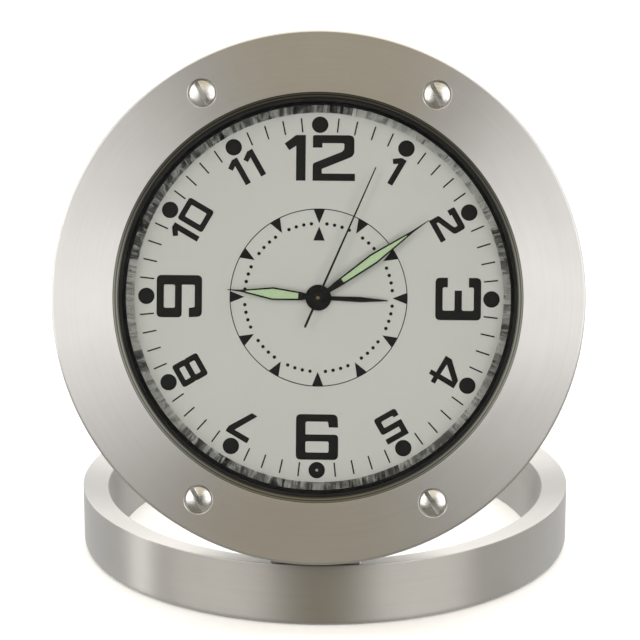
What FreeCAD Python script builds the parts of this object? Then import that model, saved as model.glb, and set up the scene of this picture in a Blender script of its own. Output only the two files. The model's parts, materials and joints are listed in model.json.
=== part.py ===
import FreeCAD, Part
import math
import os

# Travel alarm clock whose round head folds down flat onto its ring stand.
# Millimetres, +Z up, the dial faces -Y. The origin is the centre of the footprint, on the table.
# The head is drawn upright about its own axis: x to the right, depth along +Y from the bezel's
# front face, z up. lean() then tips it back on its hinge. Clock angles run clockwise from 12.

# Overall sizes
head_radius = 45.0            # bezel and stand ring, which are flush when folded
ring_height = 11.1
ring_top_width = 4.9
ring_base_width = 6.9
cone_deg = 9.0                # slope of the ring's top and of the head's rear face
lean_deg = 15.0               # how far the open head leans back
bezel_depth = 1.8
rim_depth = 3.0               # bezel and case flange together, at the rim
edge_chamfer = 0.35
rim_rear_chamfer = 1.0
foot_round = 1.0
ring_chamfer = 0.25

# Hinge
knuckle_radius = 1.0
pin_radius = 0.5
hinge_width = 15.0
head_knuckle_width = 5.0
hinge_rise = 1.0              # axis above the ring's top edge
folded_gap = 0.5              # between ring and head when folded
floor_gap = 0.2               # under the case when folded
leaf_thickness = 1.0
leaf_web = 0.4                # the ring leaf's upright, in from the hinge axis
leaf_foot = 3.5               # length of the ring leaf's foot
leaf_pocket = 1.8             # depth of its pocket in the ring's top
leaf_screw_row = 2.6          # its screws, in from the hinge axis
leaf_screw_spread = 0.32      # and out from the middle, as a share of hinge_width
head_leaf_front = 2.6
head_leaf_setback = 1.8       # outer end of the head leaf's wide part, in from the hinge axis
head_leaf_screw_spread = 0.28
neck_thickness = 0.65
countersink_depth = 0.6
leaf_slot_half, leaf_slot_depth = 0.15, 0.25
head_pocket_rise = 1.7        # top of the pocket in the head's rim, in from the hinge axis
bezel_web = 1.1               # bezel left in front of that pocket

# Front stack: depths from the bezel's face
bore_radius = 33.6
bore_chamfer = 0.95
bore_chamfer_depth = 0.5
gasket_wall = 0.55             # between the crystal and the bore
crystal_front = 0.55
crystal_thickness = 1.2
gasket_width = 1.1
gasket_lip = 0.35
dial_front = 5.0
dial_thickness = 0.4
rehaut_width = 1.1            # radial width of the polished cone
dial_hole_radius = 1.75
bead_radius = 0.25
bead_proud = 0.08
crystal_chamfer = 0.15
gasket_clear = 0.02
six_dot_inset = 2.04          # the dot at 6, with its bead, in from the cone

# Case
drum_gap = 1.5                # between drum and ring when folded, at its front
drum_back_gap = 3.3           # and at its back
drum_wall = 1.3
cover_thickness = 1.2
boss_radius = 2.2
movement_wall = 1.0
spacer_thickness = 0.8
plate_thickness = 0.8
boss_web_half = 1.2
boss_inset = 1.3              # cover bosses, in from the drum's inside
plate_margin = 7.3            # front plate, out from the side of the movement
plate_screw_inset = 1.6
spacer_screw_inset = 1.9      # from the drum's inside
works_gap = 0.4               # works, clear of the cover
pillar_radius, pillar_inset = 1.5, 3.2
cup_corner = 3.0
stud_radius, idler_stud_radius, rotor_pivot_radius = 0.45, 0.35, 0.2
pivot_skin = 0.3              # plate left over a blind pivot hole
pivot_gap = 0.1               # end play of an arbor
spacer_overlap = 3.3

# Fits
running_gap = 0.04
seat_gap = 0.05
loose_gap = 0.1
through = 20.0                # depth past everything, for holes that go right through

# Screws: head radius, shank radius
screw_proud, screw_crown = 0.25, 0.5     # bezel screws
bezel_seat, seat_margin = 0.5, 0.2       # depth of their seats, and the gap round their heads
bezel_slot_half, bezel_slot_depth = 0.38, 0.45
bezel_screw_tip = 3.3
rear_slot_half = 0.2
small_head, cover_head, plate_head = 0.6, 0.65, 0.45
cover_seat, plate_seat = 0.7, 0.5
bezel_screw = (2.2, 1.0)
leaf_screw = (1.1, 0.6)
cover_screw = (1.7, 0.9)
small_screw = (1.2, 0.6)
screw_inset = 5.5             # bezel screws, in from the rim
bezel_screw_angles = (30, 150, 210, 330)
slot_leans = (-27, -33, -30, -29)
cover_screw_angles = (60, 180, 300)
spacer_screw_angles = (0, 120, 240)
plate_screw_angles = (0, 90, 180, 270)

# Hands: length, greatest width, clock angle, front depth, thickness
second_angle = 23.4
minute_angle = 54.5
hour_angle = 270 + minute_angle / 12
alarm_angle = 92.0
minute_length, minute_width, minute_front = 22.9, 1.9, 3.25
hour_length, hour_width, hour_front = 15.5, 2.2, 3.9
alarm_length, alarm_width, alarm_front = 11.8, 0.9, 4.5
second_length, second_tail, second_front = 24.1, 5.5, 2.7
hand_thickness, alarm_thickness, second_thickness = 0.25, 0.2, 0.15
minute_hub, hour_hub, alarm_hub, second_hub = 1.6, 1.9, 2.2, 1.0
hand_rim = 0.28               # black edge left round the luminous paint

# Tubes, one inside the next
arbor_radius = 0.3
minute_tube_radius = 0.75
hour_tube_radius = 1.15
alarm_tube_radius = 1.55
set_arbor_radius = 0.5

# Gears: pressure angle, backlash and tooth heights are shares of the module
pressure_angle = math.radians(20)
backlash = 0.1
wheel_teeth_shape = (0.45, 1.15)      # addendum and dedendum of a wheel driven by a pinion
pinion_teeth_shape = (0.9, 0.75)
equal_teeth_shape = (0.8, 1.0)
motion_module, third_module, minute_module, rotor_module = 0.2, 0.18, 0.17, 0.12
wheel_thickness = 0.4

# Battery, knobs, door, switch and buzzer, seen from the front
battery_radius, battery_height = 5.8, 5.4
battery_bearing = 59.1        # clock angle from the third wheel's axis
battery_clearance = 2.1       # from the third wheel
bay_gap = 0.2
door_overlap = 1.35
knob_radius, knob_socket = 4.8, 0.3
door_gap = 0.1
switch_offset, switch_travel = 4.0, 3.0
buzzer_x, buzzer_z, buzzer_radius = -11.5, -14.0, 7.5
buzzer_thickness = 0.25
lug_half_deg, lug_reach, lug_clearance = 22, 1.2, 0.7
lug_thickness = 0.3
coin_slot = (4.5, 0.7, 0.8)           # half length, half width, depth
sound_hole_radius, sound_hole_circle = 0.6, 2.4
switch_half, switch_slot_half, switch_base = 1.35, 1.2, (2.9, 2.4, 0.55)
knob_rim, knob_dish, knob_bar_half = 0.8, 0.7, 0.7
flute_radius, flute_count = 0.35, 18
cover_edge = 0.4

# Works behind the dial: spans in x and z, and depths behind the works' front
board_x, board_z, board_depth = (-18.5, -10.5), (-5.0, 14.5), (1.4, 2.2)
chip_x, chip_z, chip_ball, chip_radius, chip_height = -14.5, -2.0, 3.6, 2.4, 0.8
can_radius, can_length, can_z = 1.0, 6.0, 3.0
core_half, core_depth = 12.0, (2.1, 2.7)
core_z = (-14.4, -12.8)
stator_depth, stator_arm, stator_bore = (1.5, 2.1), 2.6, 1.5
bobbin_half, bobbin_z, bobbin_depth = 8.6, (-14.8, -12.4), (1.7, 3.1)
bobbin_flange, bobbin_flange_radius, winding_radius = 0.6, 2.1, 1.9
magnet_radius, magnet_depth = 1.2, (1.2, 2.4)

# Worked out from the sizes above
slope = math.tan(math.radians(cone_deg))
hinge_depth = rim_depth + folded_gap - hinge_rise
hinge_drop = head_radius - knuckle_radius
hinge_z = ring_height + hinge_rise
case_depth = hinge_z + hinge_depth - floor_gap
cover_front = case_depth - cover_thickness
ring_top_inner = head_radius - ring_top_width
drum_front_radius = ring_top_inner - drum_gap
drum_back_radius = head_radius - ring_base_width - drum_back_gap
drum_front = rim_depth + (head_radius - drum_front_radius) * slope
drum_taper = (drum_front_radius - drum_back_radius) / (case_depth - drum_front)
crystal_back = crystal_front + crystal_thickness
gasket_back = crystal_back + gasket_lip
shoulder = dial_front + dial_thickness
plate_front = shoulder + spacer_thickness
works_front = plate_front + plate_thickness
works_back = cover_front - works_gap
rear_plate_front = works_back - plate_thickness
pivot_front = plate_front + pivot_skin + pivot_gap
arbor_back = works_back - works_gap
sin_lean, cos_lean = math.sin(math.radians(lean_deg)), math.cos(math.radians(lean_deg))
head_y = -hinge_drop + hinge_drop * sin_lean - hinge_depth * cos_lean
head_z = hinge_z + hinge_drop * cos_lean + hinge_depth * sin_lean
lowest_front_y = head_y - (head_radius - edge_chamfer) * sin_lean
centring = -(lowest_front_y + head_radius) / 2
head_leaf_reach = hinge_drop - head_leaf_setback
boss_circle = drum_back_radius - drum_wall - boss_inset

third_distance = third_module * (60 + 8) / 2
motion_distance = motion_module * (30 + 10) / 2
alarm_distance = motion_module * (32 + 32) / 2
idler_distance = third_module * (40 + 8) / 2
rotor_distance = idler_distance + rotor_module * (48 + 8) / 2
time_x = 2 * motion_distance
alarm_x = -alarm_distance

crystal_radius = bore_radius - gasket_wall
gasket_inner_radius = bore_radius - gasket_width
dial_view_radius = gasket_inner_radius - rehaut_width
six_dot_radius = dial_view_radius - six_dot_inset
third_tip_radius = third_module * (60 / 2 + wheel_teeth_shape[0])
battery_reach = third_tip_radius + battery_radius + battery_clearance
battery_x = battery_reach * math.sin(math.radians(battery_bearing))
battery_z = third_distance + battery_reach * math.cos(math.radians(battery_bearing))
movement_half = battery_z + battery_radius + bay_gap + movement_wall
plate_radius = movement_half + plate_margin
spacer_hole_radius = plate_radius - spacer_overlap
door_radius = battery_radius + door_overlap
switch_z = movement_half + switch_offset


def vector(x, y, z):
    return FreeCAD.Vector(x, y, z)


def disc(radius, front, back, x=0.0, z=0.0):
    return Part.makeCylinder(radius, back - front, vector(x, front, z), vector(0, 1, 0))


def washer(outer, inner, front, back, x=0.0, z=0.0):
    return disc(outer, front, back, x, z).cut(disc(inner, front - 1, back + 1, x, z))


def block(x0, x1, y0, y1, z0, z1):
    return Part.makeBox(x1 - x0, y1 - y0, z1 - z0, vector(x0, y0, z0))


def turned(points):
    """A solid of revolution about the head's axis from (radius, depth) points."""
    corners = [vector(radius, depth, 0) for radius, depth in points]
    face = Part.Face(Part.makePolygon(corners + corners[:1]))
    return face.revolve(vector(0, 0, 0), vector(0, 1, 0), 360)


def flat(points, front, back):
    """A flat piece from (x, z) points."""
    corners = [vector(x, front, z) for x, z in points]
    return Part.Face(Part.makePolygon(corners + corners[:1])).extrude(vector(0, back - front, 0))


def polar(radius, clock_deg):
    angle = math.radians(clock_deg)
    return radius * math.sin(angle), radius * math.cos(angle)


def turn(shape, clock_deg, x=0.0, z=0.0):
    """Turn a copy clockwise, as seen from the front, about an axis along Y."""
    copy = shape.copy()
    copy.rotate(vector(x, 0, z), vector(0, 1, 0), clock_deg)
    return copy


def fused(shapes):
    return shapes[0].multiFuse(shapes[1:]).removeSplitter() if len(shapes) > 1 else shapes[0]


def group(shapes):
    return Part.makeCompound(shapes)


def lean(shape):
    shape = shape.copy()
    shape.rotate(vector(0, 0, 0), vector(1, 0, 0), -lean_deg)
    shape.translate(vector(0, head_y + centring, head_z))
    return shape


def save_head(name, shape):
    lean(shape).exportStep("parts/" + name + ".step")


def save_stand(name, shape):
    shape = shape.copy()
    shape.translate(vector(0, centring, 0))
    shape.exportStep("parts/" + name + ".step")


def drum_radius(depth):
    return drum_front_radius - (depth - drum_front) * drum_taper


def rear_face(radius):
    """Depth of the head's conical rear face at a radius."""
    return rim_depth + (head_radius - radius) * slope


# Screws ---------------------------------------------------------------------------------------

def front_screw(x, z, seat, tip, crown, slot_lean):
    """Domed slotted screw driven from the front; its dome stands proud of the seat."""
    head_r, shank_r = bezel_screw
    ball_radius = (head_r ** 2 + crown ** 2) / (2 * crown)
    top = -screw_proud
    ball = Part.makeSphere(ball_radius, vector(x, top + ball_radius, z))
    head = disc(head_r, top, seat, x, z).common(ball)
    slot = block(x - bezel_slot_half, x + bezel_slot_half, top - 1, top + bezel_slot_depth,
                 z - 2 * head_r, z + 2 * head_r)
    return head.fuse(disc(shank_r, seat, tip, x, z)).cut(turn(slot, slot_lean, x, z))


def rear_screw(x, z, seat, tip, sizes, head_height):
    """Slotted screw driven from the rear; its head ends head_height behind its seat."""
    head_r, shank_r = sizes
    back = seat + head_height
    screw = disc(head_r, seat, back, x, z).fuse(disc(shank_r, tip, seat, x, z))
    slot = block(x - 2, x + 2, back - head_height / 2, back + 1, z - rear_slot_half, z + rear_slot_half)
    return screw.cut(slot)


# Gears ----------------------------------------------------------------------------------------

def gear(teeth, module, tooth_shape, front, back, phase, x=0.0, z=0.0):
    """Involute spur gear with a tooth centred on the clock angle phase, in radians."""
    addendum, dedendum = tooth_shape
    pitch = teeth * module / 2
    base = pitch * math.cos(pressure_angle)
    root, tip = pitch - dedendum * module, pitch + addendum * module
    widest = math.pi / (2 * teeth) - backlash * module / pitch
    widest += math.tan(pressure_angle) - pressure_angle

    def half_angle(radius):
        roll = math.acos(min(1, base / radius)) if radius > base else 0
        return widest - (math.tan(roll) - roll)

    radii = [root, tip]
    if teeth <= 10:
        radii = [root, base, (base + tip) / 2, tip]
    points = []
    for tooth in range(teeth):
        centre = phase + 2 * math.pi * tooth / teeth
        flank = [(radius, half_angle(radius)) for radius in radii]
        for radius, half in flank:
            points.append((x + radius * math.sin(centre - half), z + radius * math.cos(centre - half)))
        for radius, half in reversed(flank):
            points.append((x + radius * math.sin(centre + half), z + radius * math.cos(centre + half)))
    return flat(points, front, back)


def meshing_phase(direction, teeth_a, phase_a, teeth_b):
    """Phase of gear b, which lies from gear a at the clock angle direction, in radians."""
    offset = ((direction - phase_a) * teeth_a / (2 * math.pi)) % 1
    return direction + math.pi + (offset - 0.5) * 2 * math.pi / teeth_b


# Stand ----------------------------------------------------------------------------------------

def stand_ring():
    top_inner_z = ring_height - ring_top_width * slope
    points = [(head_radius - ring_base_width, 0), (head_radius, 0), (head_radius, ring_height),
              (ring_top_inner, top_inner_z)]
    corners = [vector(r, 0, z) for r, z in points]
    face = Part.Face(Part.makePolygon(corners + corners[:1]))
    ring = face.revolve(vector(0, 0, 0), vector(0, 0, 1), 360)
    foot = [edge for edge in ring.Edges if is_level_circle(edge) and edge.BoundBox.ZMax < ring_height / 2
            and edge.BoundBox.XMax > (ring_top_inner + head_radius) / 2]
    ring = ring.makeFillet(foot_round, foot)
    rims = [edge for edge in ring.Edges if is_level_circle(edge) and edge.BoundBox.ZMax > ring_height / 2]
    ring = ring.makeChamfer(ring_chamfer, rims)
    half = hinge_width / 2
    pocket = block(-half - loose_gap, half + loose_gap, -hinge_drop + leaf_web - loose_gap,
                   -ring_top_inner + 2, leaf_floor(), ring_height + 1)
    ring = ring.cut(pocket)
    for x in leaf_screw_x():
        ring = ring.cut(upright_cylinder(leaf_screw[1], leaf_floor() - 4, leaf_floor() + 1, x, ring_screw_y()))
    return ring


def is_level_circle(edge):
    box = edge.BoundBox
    return box.ZLength < 0.01 and box.XLength > 1 and box.YLength > 1


def leaf_floor():
    return ring_height - leaf_pocket


def leaf_screw_x():
    return -hinge_width * leaf_screw_spread, hinge_width * leaf_screw_spread


def ring_screw_y():
    return -hinge_drop + leaf_screw_row


def upright_cylinder(radius, low, high, x, y):
    return Part.makeCylinder(radius, high - low, vector(x, y, low), vector(0, 0, 1))


def along_x(radius, x0, x1, y, z):
    return Part.makeCylinder(radius, x1 - x0, vector(x0, y, z), vector(1, 0, 0))


def countersink(x, y, top, depth):
    head_r, shank_r = leaf_screw
    return Part.makeCone(shank_r, head_r, depth, vector(x, y, top - depth), vector(0, 0, 1))


def ring_hinge_leaf():
    half, mid = hinge_width / 2, head_knuckle_width / 2 + loose_gap
    floor, top = leaf_floor(), leaf_floor() + leaf_thickness
    web_outer = -hinge_drop + leaf_web
    foot = block(-half, half, web_outer, web_outer + leaf_foot, floor, top)
    pieces = [foot]
    for x0, x1 in ((-half, -mid), (mid, half)):
        pieces.append(block(x0, x1, web_outer, web_outer + leaf_thickness, floor, hinge_z))
        pieces.append(along_x(knuckle_radius, x0, x1, -hinge_drop, hinge_z))
    leaf = fused(pieces).cut(along_x(pin_radius, -half - 1, half + 1, -hinge_drop, hinge_z))
    for x in leaf_screw_x():
        leaf = leaf.cut(upright_cylinder(leaf_screw[1], floor - 1, top + 1, x, ring_screw_y()))
        leaf = leaf.cut(countersink(x, ring_screw_y(), top, countersink_depth))
    return leaf


def ring_hinge_screws():
    top = leaf_floor() + leaf_thickness
    screws = []
    for x in leaf_screw_x():
        screw = countersink(x, ring_screw_y(), top, countersink_depth)
        screw = screw.fuse(upright_cylinder(leaf_screw[1], leaf_floor() - 3.5, top - countersink_depth / 2,
                                            x, ring_screw_y()))
        slot = block(x - 2, x + 2, ring_screw_y() - leaf_slot_half, ring_screw_y() + leaf_slot_half,
                     top - leaf_slot_depth, top + 1)
        screws.append(screw.cut(slot))
    return group(screws)


def hinge_pin():
    half = hinge_width / 2
    return along_x(pin_radius, -half, half, -hinge_drop, hinge_z)


# Head: case and front -------------------------------------------------------------------------

def hinge_pocket(front, back):
    half = hinge_width / 2 + loose_gap
    return block(-half, half, front, back, -head_radius - 1, -hinge_drop + head_pocket_rise)


def screw_holes(radius, front, back):
    places = [polar(head_radius - screw_inset, angle) for angle in bezel_screw_angles]
    return group([disc(radius, front, back, x, z) for x, z in places])


def bezel():
    ring = turned([(bore_radius + bore_chamfer, 0), (head_radius - edge_chamfer, 0),
                   (head_radius, edge_chamfer), (head_radius, bezel_depth), (bore_radius, bezel_depth),
                   (bore_radius, bore_chamfer_depth)])
    ring = ring.cut(screw_holes(bezel_screw[0] + seat_margin, -1, bezel_seat))
    ring = ring.cut(screw_holes(bezel_screw[1] + loose_gap, 0, bezel_depth + 1))
    return ring.cut(hinge_pocket(bezel_web, bezel_depth + 1))


def bezel_screws():
    screws = []
    for angle, slot_lean in zip(bezel_screw_angles, slot_leans):
        x, z = polar(head_radius - screw_inset, angle)
        screws.append(front_screw(x, z, bezel_seat, bezel_screw_tip, screw_crown, slot_lean))
    return group(screws)


def crystal():
    return turned([(0, crystal_front), (crystal_radius - crystal_chamfer, crystal_front),
                   (crystal_radius, crystal_front + crystal_chamfer), (crystal_radius, crystal_back),
                   (0, crystal_back)])


def crystal_gasket():
    outer, wall = bore_radius - gasket_clear, crystal_radius + gasket_clear
    return turned([(wall, crystal_front), (outer, crystal_front), (outer, gasket_back),
                   (gasket_inner_radius, gasket_back), (gasket_inner_radius, crystal_back),
                   (wall, crystal_back)])


def rehaut_ring():
    outer = bore_radius - seat_gap
    return turned([(gasket_inner_radius, gasket_back), (outer, gasket_back), (outer, dial_front),
                   (dial_view_radius, dial_front)])


def dial():
    plate = washer(bore_radius - seat_gap, dial_hole_radius, dial_front, shoulder)
    return plate.cut(disc(bead_radius, dial_front - 1, shoulder + 1, 0, -six_dot_radius))


def dial_bead():
    return disc(bead_radius, dial_front - bead_proud, shoulder, 0, -six_dot_radius)


def case_body():
    flange_radius = head_radius - rim_rear_chamfer
    inner_front = drum_radius(shoulder) - drum_wall
    inner_back = drum_radius(cover_front) - drum_wall
    body = turned([(bore_radius, bezel_depth), (head_radius, bezel_depth),
                   (head_radius, rim_depth - rim_rear_chamfer), (flange_radius, rear_face(flange_radius)),
                   (drum_front_radius, drum_front), (drum_radius(cover_front), cover_front),
                   (inner_back, cover_front), (inner_front, shoulder), (bore_radius, shoulder)])
    envelope = turned([(0, shoulder - 1), (drum_radius(shoulder), shoulder - 1),
                       (drum_radius(cover_front) - 0.3, cover_front), (0, cover_front)])
    bosses = []
    for angle in cover_screw_angles:
        web = block(-boss_web_half, boss_web_half, shoulder, cover_front, boss_circle, head_radius)
        post = disc(boss_radius, shoulder, cover_front, 0, boss_circle).fuse(web)
        bosses.append(turn(post.common(envelope), angle))
    body = fused([body] + bosses)
    for angle in cover_screw_angles:
        x, z = polar(boss_circle, angle)
        body = body.cut(disc(cover_screw[1], cover_front - 5, cover_front + 1, x, z))
    body = body.cut(screw_holes(bezel_screw[1], 0, bezel_screw_tip))
    for angle in spacer_screw_angles:
        x, z = polar(spacer_screw_circle(), angle)
        body = body.cut(disc(small_screw[1], shoulder - 1.5, shoulder + 1, x, z))
    body = body.cut(hinge_pocket(0, drum_front + 1))
    half = hinge_width / 2 - 1.3
    body = body.cut(block(-half, half, head_leaf_front, drum_front + 1, -hinge_drop + 1,
                          -drum_front_radius - 0.55))
    for x in head_leaf_screw_x():
        body = body.cut(disc(leaf_screw[1], bezel_depth, rim_depth, x, -head_leaf_screw_drop()))
    return body


def spacer_screw_circle():
    return drum_radius(shoulder) - drum_wall - spacer_screw_inset


def head_leaf_screw_x():
    return -hinge_width * head_leaf_screw_spread, hinge_width * head_leaf_screw_spread


def head_leaf_screw_drop():
    return (drum_front_radius + head_leaf_reach) / 2 + 0.35


def head_countersink(x):
    head_r, shank_r = leaf_screw
    front = head_leaf_front + leaf_thickness - countersink_depth
    return Part.makeCone(shank_r, head_r, countersink_depth, vector(x, front, -head_leaf_screw_drop()),
                         vector(0, 1, 0))


def head_hinge_leaf():
    half, knuckle_half = hinge_width / 2 - 1.5, head_knuckle_width / 2
    back = head_leaf_front + leaf_thickness
    plate = block(-half, half, head_leaf_front, back, -head_leaf_reach, -drum_front_radius - 0.7)
    neck = block(-knuckle_half, knuckle_half, head_leaf_front, head_leaf_front + neck_thickness,
                 -hinge_drop, -head_leaf_reach)
    knuckle = along_x(knuckle_radius, -knuckle_half, knuckle_half, hinge_depth, -hinge_drop)
    leaf = fused([plate, neck, knuckle])
    leaf = leaf.cut(along_x(pin_radius + running_gap, -half, half, hinge_depth, -hinge_drop))
    for x in head_leaf_screw_x():
        leaf = leaf.cut(disc(leaf_screw[1], 0, through, x, -head_leaf_screw_drop())).cut(head_countersink(x))
    return leaf


def head_hinge_screws():
    screws = []
    for x in head_leaf_screw_x():
        z = -head_leaf_screw_drop()
        back = head_leaf_front + leaf_thickness
        screw = head_countersink(x).fuse(disc(leaf_screw[1], bezel_depth, back - countersink_depth / 2, x, z))
        screws.append(screw.cut(block(x - 2, x + 2, back - leaf_slot_depth, back + 1, z - leaf_slot_half,
                                      z + leaf_slot_half)))
    return group(screws)


# Head: movement -------------------------------------------------------------------------------

def movement_spacer():
    spacer = washer(drum_radius(plate_front) - drum_wall - 0.2, spacer_hole_radius, shoulder, plate_front)
    for angle in cover_screw_angles:
        notch = block(-2.5, 2.5, 0, case_depth, boss_circle - 2.5, head_radius)
        spacer = spacer.cut(turn(notch, angle))
    for angle in spacer_screw_angles:
        x, z = polar(spacer_screw_circle(), angle)
        spacer = spacer.cut(disc(small_screw[1], shoulder - 1, plate_front + 1, x, z))
    for angle in plate_screw_angles:
        x, z = polar(plate_radius - plate_screw_inset, angle)
        spacer = spacer.cut(disc(small_screw[1], shoulder - 1, plate_front + 1, x, z))
    return spacer


def movement_spacer_screws():
    places = [polar(spacer_screw_circle(), angle) for angle in spacer_screw_angles]
    return group([rear_screw(x, z, plate_front, shoulder - 1.4, small_screw, small_head) for x, z in places])


def movement_screws():
    places = [polar(plate_radius - plate_screw_inset, angle) for angle in plate_screw_angles]
    tip = shoulder + loose_gap
    return group([rear_screw(x, z, works_front, tip, small_screw, small_head) for x, z in places])


def pillar_places():
    reach = movement_half - pillar_inset
    return (-reach, reach), (-reach, -reach), (reach, -reach)


def arbor_places():
    """Front and rear pivots: x, z and radius."""
    return ((0, third_distance, arbor_radius), (0, -rotor_distance, rotor_pivot_radius),
            (time_x, 0, set_arbor_radius), (alarm_x, 0, set_arbor_radius))


def movement_front_plate():
    plate = disc(plate_radius, plate_front, works_front)
    plate = plate.cut(disc(alarm_tube_radius + running_gap, 0, through))
    for x, z, radius in arbor_places():
        plate = plate.cut(disc(radius + running_gap, plate_front + pivot_skin, through, x, z))
    for angle in plate_screw_angles:
        x, z = polar(plate_radius - plate_screw_inset, angle)
        plate = plate.cut(disc(small_screw[1], 0, through, x, z))
    stud = disc(stud_radius, works_front, motion_wheel_back() + pivot_gap, motion_distance, 0)
    pillars = [disc(pillar_radius, works_front, rear_plate_front, x, z) for x, z in pillar_places()]
    plate = fused([plate, stud] + pillars)
    for x, z in pillar_places():
        plate = plate.cut(disc(small_screw[1], rear_plate_front - 3, rear_plate_front + 1, x, z))
    return plate


def movement_rear_plate():
    half, inner = movement_half, movement_half - movement_wall
    cup = block(-half, half, works_front, works_back, -half, half)
    cup = cup.makeFillet(cup_corner, [edge for edge in cup.Edges if edge.BoundBox.YLength > 1])
    cup = cup.cut(block(-inner, inner, works_front - 1, rear_plate_front, -inner, inner))
    stud = disc(idler_stud_radius, idler_front() - pivot_gap, rear_plate_front, 0, -idler_distance)
    cup = cup.fuse(stud)
    cup = cup.cut(disc(arbor_radius + running_gap, 0, through))
    for x, z, radius in arbor_places()[:2]:
        cup = cup.cut(disc(radius + running_gap, works_front, arbor_back + pivot_gap, x, z))
    for x, z, radius in arbor_places()[2:]:
        cup = cup.cut(disc(radius + seat_gap, works_front, through, x, z))
    cup = cup.cut(disc(battery_radius + bay_gap, works_front, through, battery_x, battery_z))
    for x, z in pillar_places():
        cup = cup.cut(disc(small_screw[1], works_front, through, x, z))
        cup = cup.cut(disc(small_screw[0] + loose_gap, works_back - plate_seat, through, x, z))
    return cup


def movement_plate_screws():
    return group([rear_screw(x, z, works_back - plate_seat, rear_plate_front - 2.8, small_screw, plate_head)
                  for x, z in pillar_places()])


def works_span(depths):
    """Front and back of a piece from depths behind the works' front."""
    return works_front + depths[0], works_front + depths[1]


def circuit_board():
    return block(*board_x, *works_span(board_depth), *board_z)


def quartz_crystal():
    axis_depth = works_front + board_depth[1] + can_radius
    return Part.makeCylinder(can_radius, can_length, vector(chip_x, axis_depth, can_z), vector(0, 0, 1))


def driver_chip():
    front = works_front + board_depth[1]
    ball = Part.makeSphere(chip_ball, vector(chip_x, front + chip_height - chip_ball, chip_z))
    return ball.common(disc(chip_radius, front, front + 1, chip_x, chip_z))


def stator():
    front, back = works_span(stator_depth)
    low, high = -rotor_distance - 2.7, -rotor_distance + 2.3
    plate = block(-core_half, core_half, front, back, low, high)
    plate = plate.cut(disc(stator_bore, 0, through, 0, -rotor_distance))
    arms = [block(x, x + stator_arm, front, back, core_z[0] - 0.2, low)
            for x in (-core_half, core_half - stator_arm)]
    return fused([plate] + arms)


def coil_core():
    return block(-core_half, core_half, *works_span(core_depth), *core_z)


def bobbin_tube():
    return block(-bobbin_half, bobbin_half, *works_span(bobbin_depth), *bobbin_z)


def coil_roller(radius, x0, x1):
    """A roller on the coil's axis."""
    return along_x(radius, x0, x1, works_front + sum(bobbin_depth) / 2, sum(bobbin_z) / 2)


def coil_bobbin():
    flanges = [coil_roller(bobbin_flange_radius, x, x + bobbin_flange)
               for x in (-bobbin_half - bobbin_flange, bobbin_half)]
    slot = block(-core_half - 1, core_half + 1, *works_span(core_depth), *core_z)
    return fused([bobbin_tube()] + flanges).cut(slot)


def coil_winding():
    return coil_roller(winding_radius, -bobbin_half, bobbin_half).cut(bobbin_tube())


def battery():
    back = cover_front - 0.3
    can = disc(battery_radius, back - battery_height + 0.6, back, battery_x, battery_z)
    can = can.makeChamfer(0.3, [edge for edge in can.Edges if edge.BoundBox.XLength > 1])
    return can.fuse(disc(battery_radius - 1.6, back - battery_height, back - battery_height + 0.7,
                         battery_x, battery_z))


def battery_contacts():
    foot = cover_front - 0.3 - battery_height
    spring = block(battery_x - 3, battery_x + 3, foot - 0.25, foot, battery_z - 1, battery_z + 1)
    side = battery_x + battery_radius
    clip = block(side, side + 0.3, works_front + 1.5, rear_plate_front - 0.5, battery_z - 2, battery_z + 2)
    return group([spring, clip])


def buzzer_disc():
    return disc(buzzer_radius, cover_front - buzzer_thickness, cover_front, buzzer_x, buzzer_z)


# Head: back -----------------------------------------------------------------------------------

def bayonet_lugs(radius, front, back, play_deg):
    """Two opposite lugs, each a sector of a ring, for the battery door."""
    half, far = lug_half_deg + play_deg, 2 * radius
    sectors = []
    for middle in (90, 270):
        points = [(0, 0), polar(far, middle - half), polar(far, middle), polar(far, middle + half)]
        sectors.append(flat(points, front, back))
    inner = battery_radius + lug_clearance
    lugs = fused(sectors).common(disc(radius, front, back)).cut(disc(inner, front - 1, back + 1))
    lugs.translate(vector(battery_x, 0, battery_z))
    return lugs


def back_cover():
    edge, rim = cover_edge, drum_radius(case_depth)
    cover = turned([(0, cover_front), (drum_radius(cover_front), cover_front),
                    (rim + edge * drum_taper, case_depth - edge), (rim - edge, case_depth), (0, case_depth)])
    for x in (time_x, alarm_x):
        cover = cover.cut(disc(knob_radius + 0.2, 0, through, x, 0))
    cover = cover.cut(disc(door_radius + door_gap, 0, through, battery_x, battery_z))
    notches = bayonet_lugs(door_radius + lug_reach + 0.2, cover_front - 1, case_depth + 1, 3)
    cover = cover.cut(turn(notches, 60, battery_x, battery_z))
    tall = switch_slot_half + loose_gap
    cover = cover.cut(block(-switch_travel, switch_travel, 0, through, switch_z - tall, switch_z + tall))
    for ring_radius, count in ((0, 1), (sound_hole_circle, 6)):
        for hole in range(count):
            x, z = polar(ring_radius, 360 * hole / count)
            cover = cover.cut(disc(sound_hole_radius, 0, through, buzzer_x + x, buzzer_z + z))
    for angle in cover_screw_angles:
        x, z = polar(boss_circle, angle)
        cover = cover.cut(disc(cover_screw[1], 0, through, x, z))
        cover = cover.cut(disc(cover_screw[0] + 0.15, case_depth - cover_seat, through, x, z))
    return cover


def back_cover_screws():
    places = [polar(boss_circle, angle) for angle in cover_screw_angles]
    return group([rear_screw(x, z, case_depth - cover_seat, cover_front - 4.5, cover_screw, cover_head)
                  for x, z in places])


def battery_door():
    door = disc(door_radius, cover_front - 0.2, case_depth, battery_x, battery_z)
    back = cover_front - seat_gap
    door = door.fuse(bayonet_lugs(door_radius + lug_reach, back - lug_thickness, back, 0))
    half_length, half_width, depth = coin_slot
    slot = block(battery_x - half_length, battery_x + half_length, case_depth - depth, case_depth + 1,
                 battery_z - half_width, battery_z + half_width)
    return door.cut(slot)


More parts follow.
